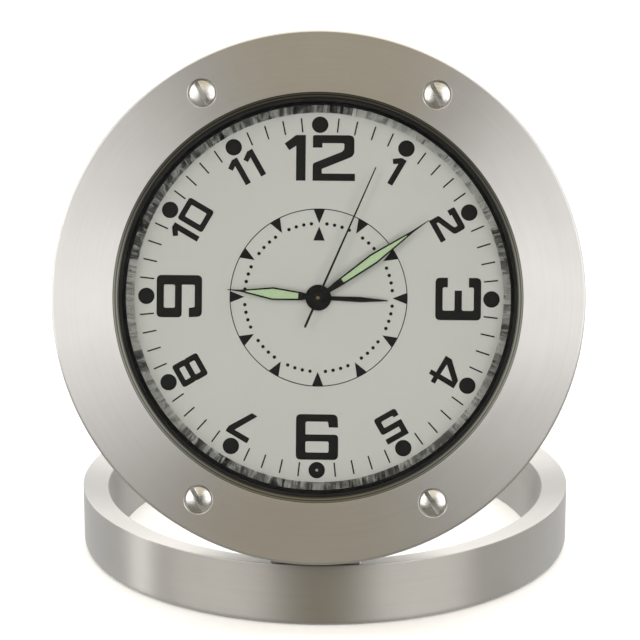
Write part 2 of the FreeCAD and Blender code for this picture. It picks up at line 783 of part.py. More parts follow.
def alarm_switch():
    """Slider: a tongue that shows in the cover's slot, on a base behind the cover."""
    middle = -switch_travel / 2
    tall = switch_slot_half
    tongue = block(middle - switch_half, middle + switch_half, cover_front - loose_gap, case_depth,
                   switch_z - tall, switch_z + tall)
    base_half, base_tall, base_thickness = switch_base
    back = cover_front - seat_gap
    base = block(middle - base_half, middle + base_half, back - base_thickness, back,
                 switch_z - base_tall, switch_z + base_tall)
    slider = tongue.fuse(base)
    for step in (-0.8, 0, 0.8):
        x = middle + step
        slider = slider.cut(block(x - 0.2, x + 0.2, case_depth - 0.3, case_depth + 1,
                                  switch_z - 1.4, switch_z + 1.4))
    return slider


def knob(x):
    """Flush thumb knob: fluted edge and a dished face with a grip bar across it."""
    body = disc(knob_radius, cover_front - seat_gap, case_depth, x, 0)
    dish = disc(knob_radius - knob_rim, case_depth - knob_dish, case_depth + 1, x, 0)
    bar_end = knob_radius - knob_rim - 0.2
    bar = block(x - bar_end, x + bar_end, case_depth - knob_dish - 0.1, case_depth,
                -knob_bar_half, knob_bar_half)
    body = body.cut(dish).fuse(bar)
    flutes = []
    for step in range(flute_count):
        across, up = polar(knob_radius + 0.1, 360 * step / flute_count)
        flutes.append(disc(flute_radius, 0, through, x + across, up))
    body = body.cut(group(flutes))
    return body.cut(disc(set_arbor_radius, 0, cover_front + knob_socket, x, 0))


# Wheels ---------------------------------------------------------------------------------------

def alarm_wheel_front():
    return works_front + 0.15


def hour_wheel_front():
    return works_front + 0.85


def motion_wheel_front():
    return works_front + 1.6


def motion_wheel_back():
    return motion_wheel_front() + wheel_thickness


def minute_wheel_front():
    return works_front + 2.25


def third_wheel_front():
    return works_front + 2.85


def idler_front():
    return third_wheel_front()


def second_wheel_front():
    return works_front + 3.5


right, left, down = math.pi / 2, -math.pi / 2, math.pi
cannon_phase = 0.0
motion_phase = meshing_phase(right, 10, cannon_phase, 30)
motion_pinion_phase = right
hour_phase = meshing_phase(left, 8, motion_pinion_phase, 32)
time_phase = meshing_phase(right, 30, motion_phase, 10)
alarm_phase = 0.0
alarm_set_phase = meshing_phase(left, 32, alarm_phase, 32)
minute_phase = 0.0
third_pinion_phase = meshing_phase(0, 64, minute_phase, 8)
second_pinion_phase = 0.0
third_phase = meshing_phase(0, 8, second_pinion_phase, 60)
second_phase = 0.0
idler_pinion_phase = meshing_phase(down, 40, second_phase, 8)
idler_phase = 0.0
rotor_phase = meshing_phase(down, 48, idler_phase, 8)


def alarm_wheel():
    front, back = alarm_wheel_front(), alarm_wheel_front() + wheel_thickness
    wheel = gear(32, motion_module, equal_teeth_shape, front, back, alarm_phase)
    tube = disc(alarm_tube_radius, alarm_front, back + 0.1)
    return wheel.fuse(tube).cut(disc(hour_tube_radius + running_gap, 0, through))


def hour_wheel():
    front, back = hour_wheel_front(), hour_wheel_front() + wheel_thickness
    wheel = gear(32, motion_module, wheel_teeth_shape, front, back, hour_phase)
    tube = disc(hour_tube_radius, hour_front, back + 0.1)
    return wheel.fuse(tube).cut(disc(minute_tube_radius + running_gap, 0, through))


def minute_wheel():
    front = minute_wheel_front()
    wheel = gear(64, minute_module, wheel_teeth_shape, front, front + wheel_thickness, minute_phase)
    cannon = gear(10, motion_module, pinion_teeth_shape, motion_wheel_front() - 0.05,
                  motion_wheel_back() + 0.05, cannon_phase)
    tube = disc(minute_tube_radius, minute_front, front + wheel_thickness)
    return fused([wheel, cannon, tube]).cut(disc(arbor_radius + running_gap, 0, through))


def second_wheel():
    front = second_wheel_front()
    wheel = gear(40, third_module, wheel_teeth_shape, front, front + wheel_thickness, second_phase)
    pinion = gear(8, third_module, pinion_teeth_shape, third_wheel_front() - 0.05,
                  third_wheel_front() + wheel_thickness + 0.05, second_pinion_phase)
    return fused([wheel, pinion, disc(arbor_radius, second_front - 0.2, arbor_back)])


def third_wheel():
    front = third_wheel_front()
    wheel = gear(60, third_module, wheel_teeth_shape, front, front + wheel_thickness, third_phase,
                 0, third_distance)
    pinion = gear(8, minute_module, pinion_teeth_shape, minute_wheel_front() - 0.05, front,
                  third_pinion_phase, 0, third_distance)
    arbor = disc(arbor_radius, pivot_front, arbor_back, 0, third_distance)
    return fused([wheel, pinion, arbor])


def intermediate_wheel():
    front = idler_front()
    wheel = gear(48, rotor_module, wheel_teeth_shape, front, front + wheel_thickness, idler_phase,
                 0, -idler_distance)
    pinion = gear(8, third_module, pinion_teeth_shape, front + wheel_thickness,
                  second_wheel_front() + wheel_thickness + 0.05, idler_pinion_phase, 0, -idler_distance)
    return wheel.fuse(pinion).cut(disc(idler_stud_radius + running_gap, 0, through, 0, -idler_distance))


def motion_work_wheel():
    front = motion_wheel_front()
    wheel = gear(30, motion_module, wheel_teeth_shape, front, front + wheel_thickness, motion_phase,
                 motion_distance, 0)
    pinion = gear(8, motion_module, pinion_teeth_shape, hour_wheel_front() - 0.05, front,
                  motion_pinion_phase, motion_distance, 0)
    return wheel.fuse(pinion).cut(disc(stud_radius + running_gap, 0, through, motion_distance, 0))


def rotor():
    pinion = gear(8, rotor_module, pinion_teeth_shape, idler_front() - 0.05,
                  idler_front() + wheel_thickness + 0.05, rotor_phase, 0, -rotor_distance)
    return pinion.fuse(disc(rotor_pivot_radius, pivot_front, arbor_back, 0, -rotor_distance))


def rotor_magnet():
    return washer(magnet_radius, rotor_pivot_radius, *works_span(magnet_depth), 0, -rotor_distance)


def time_set_arbor():
    pinion = gear(10, motion_module, pinion_teeth_shape, motion_wheel_front() - 0.05,
                  motion_wheel_back() + 0.05, time_phase, time_x, 0)
    return pinion.fuse(disc(set_arbor_radius, pivot_front, cover_front + knob_socket, time_x, 0))


def alarm_set_arbor():
    front = alarm_wheel_front()
    wheel = gear(32, motion_module, equal_teeth_shape, front, front + wheel_thickness, alarm_set_phase,
                 alarm_x, 0)
    return wheel.fuse(disc(set_arbor_radius, pivot_front, cover_front + knob_socket, alarm_x, 0))


# Hands ----------------------------------------------------------------------------------------

def leaf_outline(length, width, inset):
    """Leaf-shaped hand as stations of (share of length, half width), both sides."""
    stations = [(0.0, 0.42), (0.10, 0.42), (0.19, width * 0.32), (0.5, width / 2), (0.86, 0.17), (1.0, 0.06)]
    if inset:
        stations = [(0.22, width * 0.34 - inset), (0.5, width / 2 - inset), (0.80, 0.06)]
    side = [(half, share * length) for share, half in stations]
    return side + [(-x, z) for x, z in reversed(side)]


def leaf_hand(length, width, front, hub_radius, tube_radius, angle):
    back = front + hand_thickness
    blade = flat(leaf_outline(length, width, 0), front, back)
    blade = blade.cut(flat(leaf_outline(length, width, hand_rim), front - 1, back + 1))
    return turn(blade.fuse(disc(hub_radius, front, back)).cut(disc(tube_radius, 0, through)), angle)


def leaf_lume(length, width, front, angle):
    back = front + hand_thickness - 0.02
    return turn(flat(leaf_outline(length, width, hand_rim), front + 0.03, back), angle)


def alarm_hand():
    front, back = alarm_front, alarm_front + alarm_thickness
    half = alarm_width / 2
    blade = flat([(half * 0.7, 0), (half, alarm_length * 0.6), (0.08, alarm_length),
                  (-0.08, alarm_length), (-half, alarm_length * 0.6), (-half * 0.7, 0)], front, back)
    hand = blade.fuse(disc(alarm_hub, front, back))
    return turn(hand.cut(disc(alarm_tube_radius, 0, through)), alarm_angle)


def second_hand():
    back = second_front + second_thickness
    blade = flat([(0.2, -second_tail), (0.2, 0), (0.1, second_length), (-0.1, second_length),
                  (-0.2, 0), (-0.2, -second_tail)], second_front, back)
    hub = disc(second_hub, second_front - 0.2, back + 0.2)
    return turn(blade.fuse(hub).cut(disc(arbor_radius, 0, through)), second_angle)


os.makedirs("parts", exist_ok=True)

save_stand("stand_ring", stand_ring())
save_stand("ring_hinge_leaf", ring_hinge_leaf())
save_stand("ring_hinge_screws", ring_hinge_screws())
save_stand("hinge_pin", hinge_pin())

head_nodes = {
    "bezel": bezel,
    "bezel_screws": bezel_screws,
    "crystal": crystal,
    "crystal_gasket": crystal_gasket,
    "rehaut_ring": rehaut_ring,
    "dial": dial,
    "dial_bead": dial_bead,
    "case_body": case_body,
    "head_hinge_leaf": head_hinge_leaf,
    "head_hinge_screws": head_hinge_screws,
    "movement_spacer": movement_spacer,
    "movement_spacer_screws": movement_spacer_screws,
    "movement_screws": movement_screws,
    "movement_front_plate": movement_front_plate,
    "movement_rear_plate": movement_rear_plate,
    "movement_plate_screws": movement_plate_screws,
    "circuit_board": circuit_board,
    "quartz_crystal": quartz_crystal,
    "driver_chip": driver_chip,
    "stator": stator,
    "coil_core": coil_core,
    "coil_bobbin": coil_bobbin,
    "coil_winding": coil_winding,
    "battery": battery,
    "battery_contacts": battery_contacts,
    "buzzer_disc": buzzer_disc,
    "back_cover": back_cover,
    "back_cover_screws": back_cover_screws,
    "battery_door": battery_door,
    "alarm_switch": alarm_switch,
    "alarm_wheel": alarm_wheel,
    "hour_wheel": hour_wheel,
    "minute_wheel": minute_wheel,
    "second_wheel": second_wheel,
    "third_wheel": third_wheel,
    "intermediate_wheel": intermediate_wheel,
    "motion_work_wheel": motion_work_wheel,
    "rotor": rotor,
    "rotor_magnet": rotor_magnet,
    "time_set_arbor": time_set_arbor,
    "alarm_set_arbor": alarm_set_arbor,
    "alarm_hand": alarm_hand,
    "second_hand": second_hand,
}
for name, make in head_nodes.items():
    save_head(name, make())

save_head("time_set_knob", knob(time_x))
save_head("alarm_set_knob", knob(alarm_x))
minute_sizes = (minute_length, minute_width, minute_front)
hour_sizes = (hour_length, hour_width, hour_front)
save_head("minute_hand", leaf_hand(*minute_sizes, minute_hub, minute_tube_radius, minute_angle))
save_head("minute_hand_lume", leaf_lume(*minute_sizes, minute_angle))
save_head("hour_hand", leaf_hand(*hour_sizes, hour_hub, hour_tube_radius, hour_angle))
save_head("hour_hand_lume", leaf_lume(*hour_sizes, hour_angle))
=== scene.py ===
"""Looks of a travel alarm clock whose round head folds down onto its ring stand.

Metres, +Z up, the dial faces -Y and leans back. Head pieces are modelled upright, with x to the
right, y the depth behind the bezel's front face and z up, and are then set on the leaning axis.
"""

import json
import logging
import math
from dataclasses import dataclass, field
from enum import Enum
from typing import Dict, List, Sequence, Tuple

import bpy
from mathutils import Matrix, Vector


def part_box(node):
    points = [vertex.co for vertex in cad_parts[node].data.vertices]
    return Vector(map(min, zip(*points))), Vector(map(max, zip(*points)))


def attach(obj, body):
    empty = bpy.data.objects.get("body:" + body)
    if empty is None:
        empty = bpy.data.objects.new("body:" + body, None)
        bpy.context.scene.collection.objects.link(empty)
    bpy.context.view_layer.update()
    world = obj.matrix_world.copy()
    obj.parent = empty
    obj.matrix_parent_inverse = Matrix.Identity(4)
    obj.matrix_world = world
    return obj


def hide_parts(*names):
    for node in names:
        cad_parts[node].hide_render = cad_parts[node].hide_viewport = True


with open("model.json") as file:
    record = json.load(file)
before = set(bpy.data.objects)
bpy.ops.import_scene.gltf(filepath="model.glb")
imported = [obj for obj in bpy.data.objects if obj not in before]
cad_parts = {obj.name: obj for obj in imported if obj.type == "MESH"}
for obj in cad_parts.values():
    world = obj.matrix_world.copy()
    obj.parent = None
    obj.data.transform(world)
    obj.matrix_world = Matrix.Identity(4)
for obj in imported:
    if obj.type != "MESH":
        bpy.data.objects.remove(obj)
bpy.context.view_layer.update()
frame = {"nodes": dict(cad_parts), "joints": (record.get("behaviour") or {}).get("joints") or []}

LOG = logging.getLogger("travel_clock")
MM = 0.001
TURN = 2 * math.pi
LATHE_STEPS = 256
SMALL_STEPS = 64
WAVE_RATE = 20  # radians that the wave texture turns in one unit at scale 1

Point = Tuple[float, float]
Colour = Tuple[float, float, float]
Corner = Tuple[float, float, float]


def clock_point(radius: float, clock_deg: float) -> Point:
    """Point at a clock angle.

    Args:
        radius: Distance from the dial's axis.
        clock_deg: Degrees clockwise from 12.

    Returns:
        (x, z) in the upright head frame.
    """
    angle = math.radians(clock_deg)
    return radius * math.sin(angle), radius * math.cos(angle)


# Frames ---------------------------------------------------------------------------------------

@dataclass(frozen=True)
class Span:
    """Reach of a node about an axis: radii, and depths along it."""

    inner: float
    outer: float
    front: float
    back: float


@dataclass(frozen=True)
class AxisFrame:
    """An axis with an origin: columns are across, along the axis, and up."""

    origin: Vector
    across: Vector
    along: Vector
    up: Vector

    def matrix(self) -> Matrix:
        """Placement of something modelled upright at the origin."""
        rows = [(self.across[i], self.along[i], self.up[i], self.origin[i]) for i in range(3)]
        return Matrix(rows + [(0, 0, 0, 1)])

    def local(self, point: Vector) -> Vector:
        """A point of the object in this frame."""
        step = point - self.origin
        return Vector((step.dot(self.across), step.dot(self.along), step.dot(self.up)))

    def points(self, node: str) -> List[Vector]:
        """Corners of a CAD node in this frame."""
        return [self.local(v.co) for v in frame["nodes"][node].data.vertices]

    def span(self, node: str) -> Span:
        """Radii and depths that a CAD node covers."""
        points = self.points(node)
        radii = [math.hypot(p.x, p.z) for p in points]
        depths = [p.y for p in points]
        return Span(min(radii), max(radii), min(depths), max(depths))

    def centre(self, node: str) -> Vector:
        """Middle of a CAD node's box in this frame."""
        points = self.points(node)
        return Vector([(min(p[i] for p in points) + max(p[i] for p in points)) / 2
                       for i in range(3)])


def head_frame() -> AxisFrame:
    """Frame of the leaning head, read from the minute hand's joint and the bezel's face.

    Returns:
        Frame whose origin is the centre of the bezel's front face.
    """
    joint = next(j for j in frame["joints"] if j["name"] == "minute_turn")
    along = Vector(joint["axis"]).normalized()
    across = Vector((1, 0, 0))
    pivot = Vector(joint["pos_m"])
    front = min((v.co - pivot).dot(along) for v in frame["nodes"]["bezel"].data.vertices)
    return AxisFrame(pivot + along * front, across, along, across.cross(along))


def stand_frame() -> AxisFrame:
    """Frame of the ring stand: its axis points up from the centre of its base."""
    low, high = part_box("stand_ring")
    centre = Vector(((low.x + high.x) / 2, (low.y + high.y) / 2, low.z))
    return AxisFrame(centre, Vector((1, 0, 0)), Vector((0, 0, 1)), Vector((0, -1, 0)))


# Hand tools -----------------------------------------------------------------------------------

class Bench:
    """Modelling steps that every sub-assembly uses."""

    @staticmethod
    def clear() -> None:
        """Leave edit mode and select nothing."""
        if bpy.context.object and bpy.context.object.mode != "OBJECT":
            bpy.ops.object.mode_set(mode="OBJECT")
        bpy.ops.object.select_all(action="DESELECT")

    @staticmethod
    def pick(piece: bpy.types.Object) -> None:
        """Select one piece and make it active."""
        Bench.clear()
        piece.select_set(True)
        bpy.context.view_layer.objects.active = piece

    @staticmethod
    def edit_all() -> None:
        """Enter edit mode with the whole mesh selected."""
        bpy.ops.object.mode_set(mode="EDIT")
        bpy.ops.mesh.select_all(action="SELECT")

    @staticmethod
    def wire(name: str, points: Sequence[Point], rounding: float) -> bpy.types.Object:
        """Draw a closed outline, vertex by vertex, and round its corners.

        Args:
            name: Name of the new piece.
            points: Corners in the x-y plane.
            rounding: Size of the corner rounds.

        Returns:
            The piece, in edit mode with everything selected.
        """
        Bench.clear()
        start = points[0]
        bpy.ops.mesh.primitive_plane_add(size=MM, location=(start[0], start[1], 0))
        piece = bpy.context.object
        piece.name = piece.data.name = name
        bpy.ops.object.transform_apply(location=True)
        Bench.edit_all()
        bpy.ops.mesh.merge(type="CENTER")
        for last, new in zip(points, points[1:]):
            step = (new[0] - last[0], new[1] - last[1], 0)
            bpy.ops.mesh.extrude_vertices_move(TRANSFORM_OT_translate={"value": step})
        bpy.ops.object.mode_set(mode="OBJECT")
        for vertex in piece.data.vertices:
            vertex.select = vertex.index in (0, len(points) - 1)
        bpy.ops.object.mode_set(mode="EDIT")
        bpy.ops.mesh.edge_face_add()
        bpy.ops.mesh.select_all(action="SELECT")
        if rounding > 0:
            bpy.ops.mesh.bevel(offset=rounding, segments=3, affect="VERTICES")
            bpy.ops.mesh.select_all(action="SELECT")
        return piece

    @staticmethod
    def close() -> None:
        """Merge doubles, point the faces outwards and leave edit mode."""
        bpy.ops.mesh.select_all(action="SELECT")
        bpy.ops.mesh.remove_doubles(threshold=0.001 * MM)
        bpy.ops.mesh.normals_make_consistent(inside=False)
        bpy.ops.object.mode_set(mode="OBJECT")

    @staticmethod
    def lathe(name: str, points: Sequence[Point], rounding: float = 0.0,
              steps: int = LATHE_STEPS) -> bpy.types.Object:
        """Turn a closed profile about the y axis.

        Args:
            name: Name of the new piece.
            points: (radius, depth) corners of the profile.
            rounding: Size of the corner rounds.
            steps: Facets round the axis.

        Returns:
            A closed piece in the upright frame.
        """
        piece = Bench.wire(name, points, rounding)
        bpy.ops.mesh.spin(steps=steps, angle=TURN, center=(0, 0, 0), axis=(0, 1, 0))
        Bench.close()
        return piece

    @staticmethod
    def block(low: Sequence[float], high: Sequence[float]) -> bpy.types.Object:
        """A square cutter between two corners."""
        Bench.clear()
        middle = [(a + b) / 2 for a, b in zip(low, high)]
        bpy.ops.mesh.primitive_cube_add(size=1, location=middle)
        cutter = bpy.context.object
        cutter.scale = [b - a for a, b in zip(low, high)]
        Bench.bake()
        return cutter

    @staticmethod
    def bake() -> None:
        """Fold the active piece's placement into its mesh."""
        bpy.ops.object.transform_apply(location=True, rotation=True, scale=True)

    @staticmethod
    def carve(piece: bpy.types.Object, cutter: bpy.types.Object, join: bool = False) -> None:
        """Cut one piece with another, or join them into one solid, and use the other up."""
        modifier = piece.modifiers.new("carve", "BOOLEAN")
        modifier.operation = "UNION" if join else "DIFFERENCE"
        modifier.solver = "EXACT"
        modifier.object = cutter
        Bench.apply(piece)
        bpy.data.objects.remove(cutter)

    @staticmethod
    def apply(piece: bpy.types.Object) -> None:
        """Apply every modifier of a piece in order."""
        Bench.pick(piece)
        for modifier in list(piece.modifiers):
            bpy.ops.object.modifier_apply(modifier=modifier.name)

    @staticmethod
    def move(piece: bpy.types.Object, x: float = 0.0, y: float = 0.0, z: float = 0.0,
             clock_deg: float = 0.0) -> bpy.types.Object:
        """Turn a piece clockwise as seen from the front, then shift it."""
        Bench.pick(piece)
        turn = Matrix.Rotation(math.radians(clock_deg), 4, "Y")
        piece.matrix_world = Matrix.Translation((x, y, z)) @ turn
        Bench.bake()
        return piece

    @staticmethod
    def copy(piece: bpy.types.Object, name: str) -> bpy.types.Object:
        """A copy of a piece with a mesh of its own."""
        twin = piece.copy()
        twin.data = piece.data.copy()
        twin.name = twin.data.name = name
        bpy.context.scene.collection.objects.link(twin)
        return twin

    @staticmethod
    def gather(name: str, pieces: Sequence[bpy.types.Object]) -> bpy.types.Object:
        """Join separate pieces into one object."""
        Bench.clear()
        for piece in pieces:
            piece.select_set(True)
        bpy.context.view_layer.objects.active = pieces[0]
        bpy.ops.object.join()
        pieces[0].name = pieces[0].data.name = name
        return pieces[0]

    @staticmethod
    def soften(piece: bpy.types.Object, width: float, segments: int = 2,
               limit_deg: float = 32.0) -> None:
        """Round the sharp edges with a bevel."""
        modifier = piece.modifiers.new("edges", "BEVEL")
        modifier.width = width
        modifier.segments = segments
        modifier.limit_method = "ANGLE"
        modifier.angle_limit = math.radians(limit_deg)
        modifier.use_clamp_overlap = True
        Bench.apply(piece)

    @staticmethod
    def polish(piece: bpy.types.Object, limit_deg: float = 35.0, weigh: bool = True) -> None:
        """Shade curves smooth while flat faces stay flat."""
        Bench.pick(piece)
        bpy.ops.object.shade_smooth_by_angle(angle=math.radians(limit_deg))
        if not weigh:
            return
        modifier = piece.modifiers.new("shading", "WEIGHTED_NORMAL")
        modifier.keep_sharp = True
        Bench.apply(piece)

    @staticmethod
    def set_on(piece: bpy.types.Object, where: AxisFrame) -> None:
        """Put a piece modelled upright onto its axis."""
        Bench.pick(piece)
        piece.matrix_world = where.matrix()
        Bench.bake()

    @staticmethod
    def refined(node: str, width: float, limit_deg: float = 32.0) -> bpy.types.Object:
        """A finished copy of a CAD node: merged, with its flat faces whole and its edges eased.

        Args:
            node: CAD node to copy.
            width: Width of the eased edges.
            limit_deg: Angle past which an edge is eased.

        Returns:
            The copy, in place.
        """
        Bench.clear()
        twin = frame["nodes"][node].copy()
        twin.data = frame["nodes"][node].data.copy()
        twin.parent = None
        for key in list(twin.keys()):
            del twin[key]
        twin.name = twin.data.name = node + "_finished"
        bpy.context.scene.collection.objects.link(twin)
        twin.data.materials.clear()
        Bench.pick(twin)
        Bench.edit_all()
        bpy.ops.mesh.remove_doubles(threshold=0.0005 * MM)
        bpy.ops.mesh.dissolve_limited(angle_limit=math.radians(0.5))
        bpy.ops.object.mode_set(mode="OBJECT")
        Bench.soften(twin, width, 2, limit_deg)
        Bench.polish(twin)
        return twin


# Finishes -------------------------------------------------------------------------------------

class Nodes:
    """Short calls for the shader nodes used here."""

    def __init__(self, tree: bpy.types.NodeTree) -> None:
        """Start with an empty tree."""
        self.tree = tree
        self.tree.nodes.clear()

    def add(self, kind: str) -> bpy.types.Node:
        """A new node of a kind."""
        return self.tree.nodes.new(kind)

    def feed(self, source: object, socket: bpy.types.NodeSocket) -> None:
        """Link a socket, or set a constant, on an input."""
        if isinstance(source, bpy.types.NodeSocket):
            self.tree.links.new(source, socket)
        else:
            socket.default_value = source

    def maths(self, operation: str, *inputs: object) -> bpy.types.NodeSocket:
        """A maths node."""
        node = self.add("ShaderNodeMath")
        node.operation = operation
        for socket, source in zip(node.inputs, inputs):
            self.feed(source, socket)
        return node.outputs[0]

    def vector(self, operation: str, *inputs: object) -> bpy.types.NodeSocket:
        """A vector maths node. Dot and length give a number."""
        node = self.add("ShaderNodeVectorMath")
        node.operation = operation
        scale = operation == "SCALE"
        sockets = [node.inputs[0], node.inputs["Scale"]] if scale else node.inputs
        for socket, source in zip(sockets, inputs):
            self.feed(source, socket)
        number = operation in ("DOT_PRODUCT", "LENGTH")
        return node.outputs["Value" if number else "Vector"]

    def noise(self, where: object, scale: float, detail: float = 2.0,
              roughness: float = 0.5) -> bpy.types.NodeSocket:
        """Noise as a number."""
        node = self.add("ShaderNodeTexNoise")
        self.feed(where, node.inputs["Vector"])
        node.inputs["Scale"].default_value = scale
        node.inputs["Detail"].default_value = detail
        node.inputs["Roughness"].default_value = roughness
        return node.outputs[0]

    def band(self, value: object, low: object, high: object, to_low: float = 0.0,
             to_high: float = 1.0) -> bpy.types.NodeSocket:
        """Map a number from one band to another, clamped."""
        node = self.add("ShaderNodeMapRange")
        for index, source in enumerate((value, low, high, to_low, to_high)):
            self.feed(source, node.inputs[index])
        return node.outputs[0]

    def blend(self, factor: object, first: object, second: object) -> bpy.types.NodeSocket:
        """Mix two colours."""
        node = self.add("ShaderNodeMix")
        node.data_type = "RGBA"
        sockets = [s for s in node.inputs if s.enabled]
        for socket, source in zip(sockets, (factor, first, second)):
            if isinstance(source, tuple) and len(source) == 3:
                source = source + (1.0,)
            self.feed(source, socket)
        return next(s for s in node.outputs if s.enabled)


class Graph(Nodes):
    """A material's node tree round one principled surface."""

    def __init__(self, name: str) -> None:
        """Start the material."""
        self.material = bpy.data.materials.new(name)
        self.material.use_nodes = True
        super().__init__(self.material.node_tree)
        self.surface = self.add("ShaderNodeBsdfPrincipled")
        self.feed(self.surface.outputs[0], self.add("ShaderNodeOutputMaterial").inputs[0])
        self.place = self.add("ShaderNodeTexCoord").outputs["Object"]

    def stretched(self, scale: Sequence[float]) -> bpy.types.NodeSocket:
        """Object coordinates scaled by axis."""
        node = self.add("ShaderNodeMapping")
        node.inputs["Scale"].default_value = scale
        self.feed(self.place, node.inputs["Vector"])
        return node.outputs[0]

    def relief(self, height: object, strength: float, distance: float) -> None:
        """Bump on the surface."""
        node = self.add("ShaderNodeBump")
        node.inputs["Strength"].default_value = strength
        node.inputs["Distance"].default_value = distance
        self.feed(height, node.inputs["Height"])
        self.feed(node.outputs[0], self.surface.inputs["Normal"])

    def set(self, **values: object) -> None:
        """Set or link inputs of the principled surface by name, with _ for a space."""
        for name, source in values.items():
            if isinstance(source, tuple) and len(source) == 3:
                source = source + (1.0,)
            self.feed(source, self.surface.inputs[name.replace("_", " ")])


@dataclass(frozen=True)
class TurnedSteel:
    """Steel brushed in circles round an axis, with painted shade inside a radius: a dark tone with
    concentric rings that stands in for the bore chamfer's dark reflection.
    """

    name: str
    axis: AxisFrame
    light: Colour
    dark: Colour
    roughness: float = 0.30
    spread: float = 0.80
    line: float = 0.08 * MM
    arc: float = 1.4
    depth: float = 0.2
    bore: float = 0.0
    bore_light: Colour = (0.17, 0.17, 0.15)
    bore_dark: Colour = (0.05, 0.05, 0.04)
    bore_ring: float = 0.42 * MM
    bore_blur: float = 0.03 * MM

    def build(self) -> bpy.types.Material:
        """Grooves by radius, drawn out along the arc, with the gloss stretched across them."""
        g = Graph(self.name)
        from_centre = g.vector("SUBTRACT", g.place, tuple(self.axis.origin))
        circular = g.vector("CROSS_PRODUCT", tuple(self.axis.along), from_centre)
        radius = g.vector("LENGTH", circular)
        height = g.vector("DOT_PRODUCT", from_centre, tuple(self.axis.along))
        round_way = g.vector("NORMALIZE", circular)
        groove = g.maths("DIVIDE", g.maths("ADD", radius, height), self.line)
        across = g.vector("SCALE", tuple(self.axis.along), groove)
        lines = g.noise(g.vector("ADD", g.vector("SCALE", round_way, self.arc), across), 1.0, 3.0, 0.65)
        rub = g.noise(g.place, 140.0, 3.0)
        tone = g.maths("ADD", g.maths("MULTIPLY", lines, 0.7), g.maths("MULTIPLY", rub, 0.3))
        colour = g.blend(g.band(tone, 0.3, 0.7), self.dark, self.light)
        # Painted shade: inside the bore radius the steel gets a near-black tone that stands in for the
        # dark reflection of the chamfer; the cosine rings draw its fine turned lines.
        if self.bore:
            past_edge = g.maths("SUBTRACT", radius, self.bore)
            rings = g.maths("COSINE", g.maths("MULTIPLY", past_edge, TURN / self.bore_ring))
            inside = g.blend(g.band(rings, -1.0, 1.0), self.bore_light, self.bore_dark)
            low, high = self.bore - self.bore_blur, self.bore + self.bore_blur
            colour = g.blend(g.band(radius, low, high), inside, colour)
        g.set(Base_Color=colour, Metallic=1.0, Anisotropic=self.spread,
              Roughness=g.band(lines, 0.3, 0.7, self.roughness * 0.9, self.roughness * 1.1))
        normal = g.add("ShaderNodeTexCoord").outputs["Normal"]
        tangent = g.vector("NORMALIZE", g.vector("CROSS_PRODUCT", normal, round_way))
        world = g.add("ShaderNodeVectorTransform")
        world.vector_type, world.convert_from, world.convert_to = "VECTOR", "OBJECT", "WORLD"
        g.feed(tangent, world.inputs[0])
        g.feed(world.outputs[0], g.surface.inputs["Tangent"])
        g.relief(lines, self.depth, 0.01 * MM)
        return g.material


@dataclass(frozen=True)
class MirrorSteel:
    """Polished metal, wiped nearly clean."""

    name: str
    light: Colour = (0.78, 0.78, 0.74)
    dark: Colour = (0.74, 0.74, 0.70)
    roughness: float = 0.025

    def build(self) -> bpy.types.Material:
        """A mirror with faint wipe marks in its gloss."""
        g = Graph(self.name)
        wipe = g.noise(g.place, 220.0, 3.0)
        g.set(Base_Color=g.blend(g.band(wipe, 0.3, 0.7), self.dark, self.light), Metallic=1.0,
              Roughness=g.band(wipe, 0.3, 0.7, self.roughness * 0.7, self.roughness * 1.3))
        return g.material


@dataclass(frozen=True)
class PlainSteel:
    """Steel or another metal with a fine straight grain and small rub marks."""

    name: str
    light: Colour
    dark: Colour
    roughness: float = 0.25
    grain: Tuple[float, float, float] = (400.0, 9000.0, 9000.0)
    relief: float = 0.15

    def build(self) -> bpy.types.Material:
        """Grain, patches of rubbing and uneven gloss."""
        g = Graph(self.name)
        grain = g.noise(g.stretched(self.grain), 1.0, 3.0, 0.6)
        rub = g.noise(g.place, 420.0, 3.0)
        tone = g.maths("ADD", g.maths("MULTIPLY", grain, 0.6), g.maths("MULTIPLY", rub, 0.4))
        g.set(Base_Color=g.blend(g.band(tone, 0.35, 0.65), self.dark, self.light), Metallic=1.0,
              Roughness=g.band(rub, 0.3, 0.7, self.roughness * 0.75, self.roughness * 1.3))
        g.relief(grain, self.relief, 0.006 * MM)
        return g.material


@dataclass(frozen=True)
class Moulded:
    """Moulded plastic or rubber with a fine texture."""

    name: str
    light: Colour
    dark: Colour
    roughness: float = 0.5
    grain: float = 0.12 * MM
    relief: float = 0.35
    gloss: float = 0.5

    def build(self) -> bpy.types.Material:
        """Spark-eroded grain with slow changes of tone."""
        g = Graph(self.name)
        grain = g.noise(g.place, 1.0 / self.grain, 2.0, 0.6)
        slow = g.noise(g.place, 160.0, 2.0)
        g.set(Base_Color=g.blend(g.band(slow, 0.3, 0.7), self.dark, self.light),
              Roughness=g.band(grain, 0.3, 0.7, self.roughness * 0.85, self.roughness * 1.15),
              Specular_IOR_Level=self.gloss)
        g.relief(grain, self.relief, self.grain * 0.15)
        return g.material


@dataclass(frozen=True)
class SatinDial:
    """Silver-grey lacquer over a finely blasted plate."""

    name: str = "dial_silver_lacquer"
    light: Colour = (0.74, 0.76, 0.73)
    dark: Colour = (0.69, 0.71, 0.68)

    def build(self) -> bpy.types.Material:
        """Metal flakes under a clear satin coat."""
        g = Graph(self.name)
        flakes = g.noise(g.place, 9000.0, 2.0, 0.7)
        slow = g.noise(g.place, 60.0, 2.0)
        tone = g.maths("ADD", g.maths("MULTIPLY", flakes, 0.7), g.maths("MULTIPLY", slow, 0.3))
        g.set(Base_Color=g.blend(g.band(tone, 0.35, 0.65), self.dark, self.light), Metallic=0.15,
              Roughness=g.band(flakes, 0.3, 0.7, 0.42, 0.55), Coat_Weight=0.15)
        g.surface.inputs["Coat Roughness"].default_value = 0.35
        g.relief(flakes, 0.15, 0.004 * MM)
        return g.material


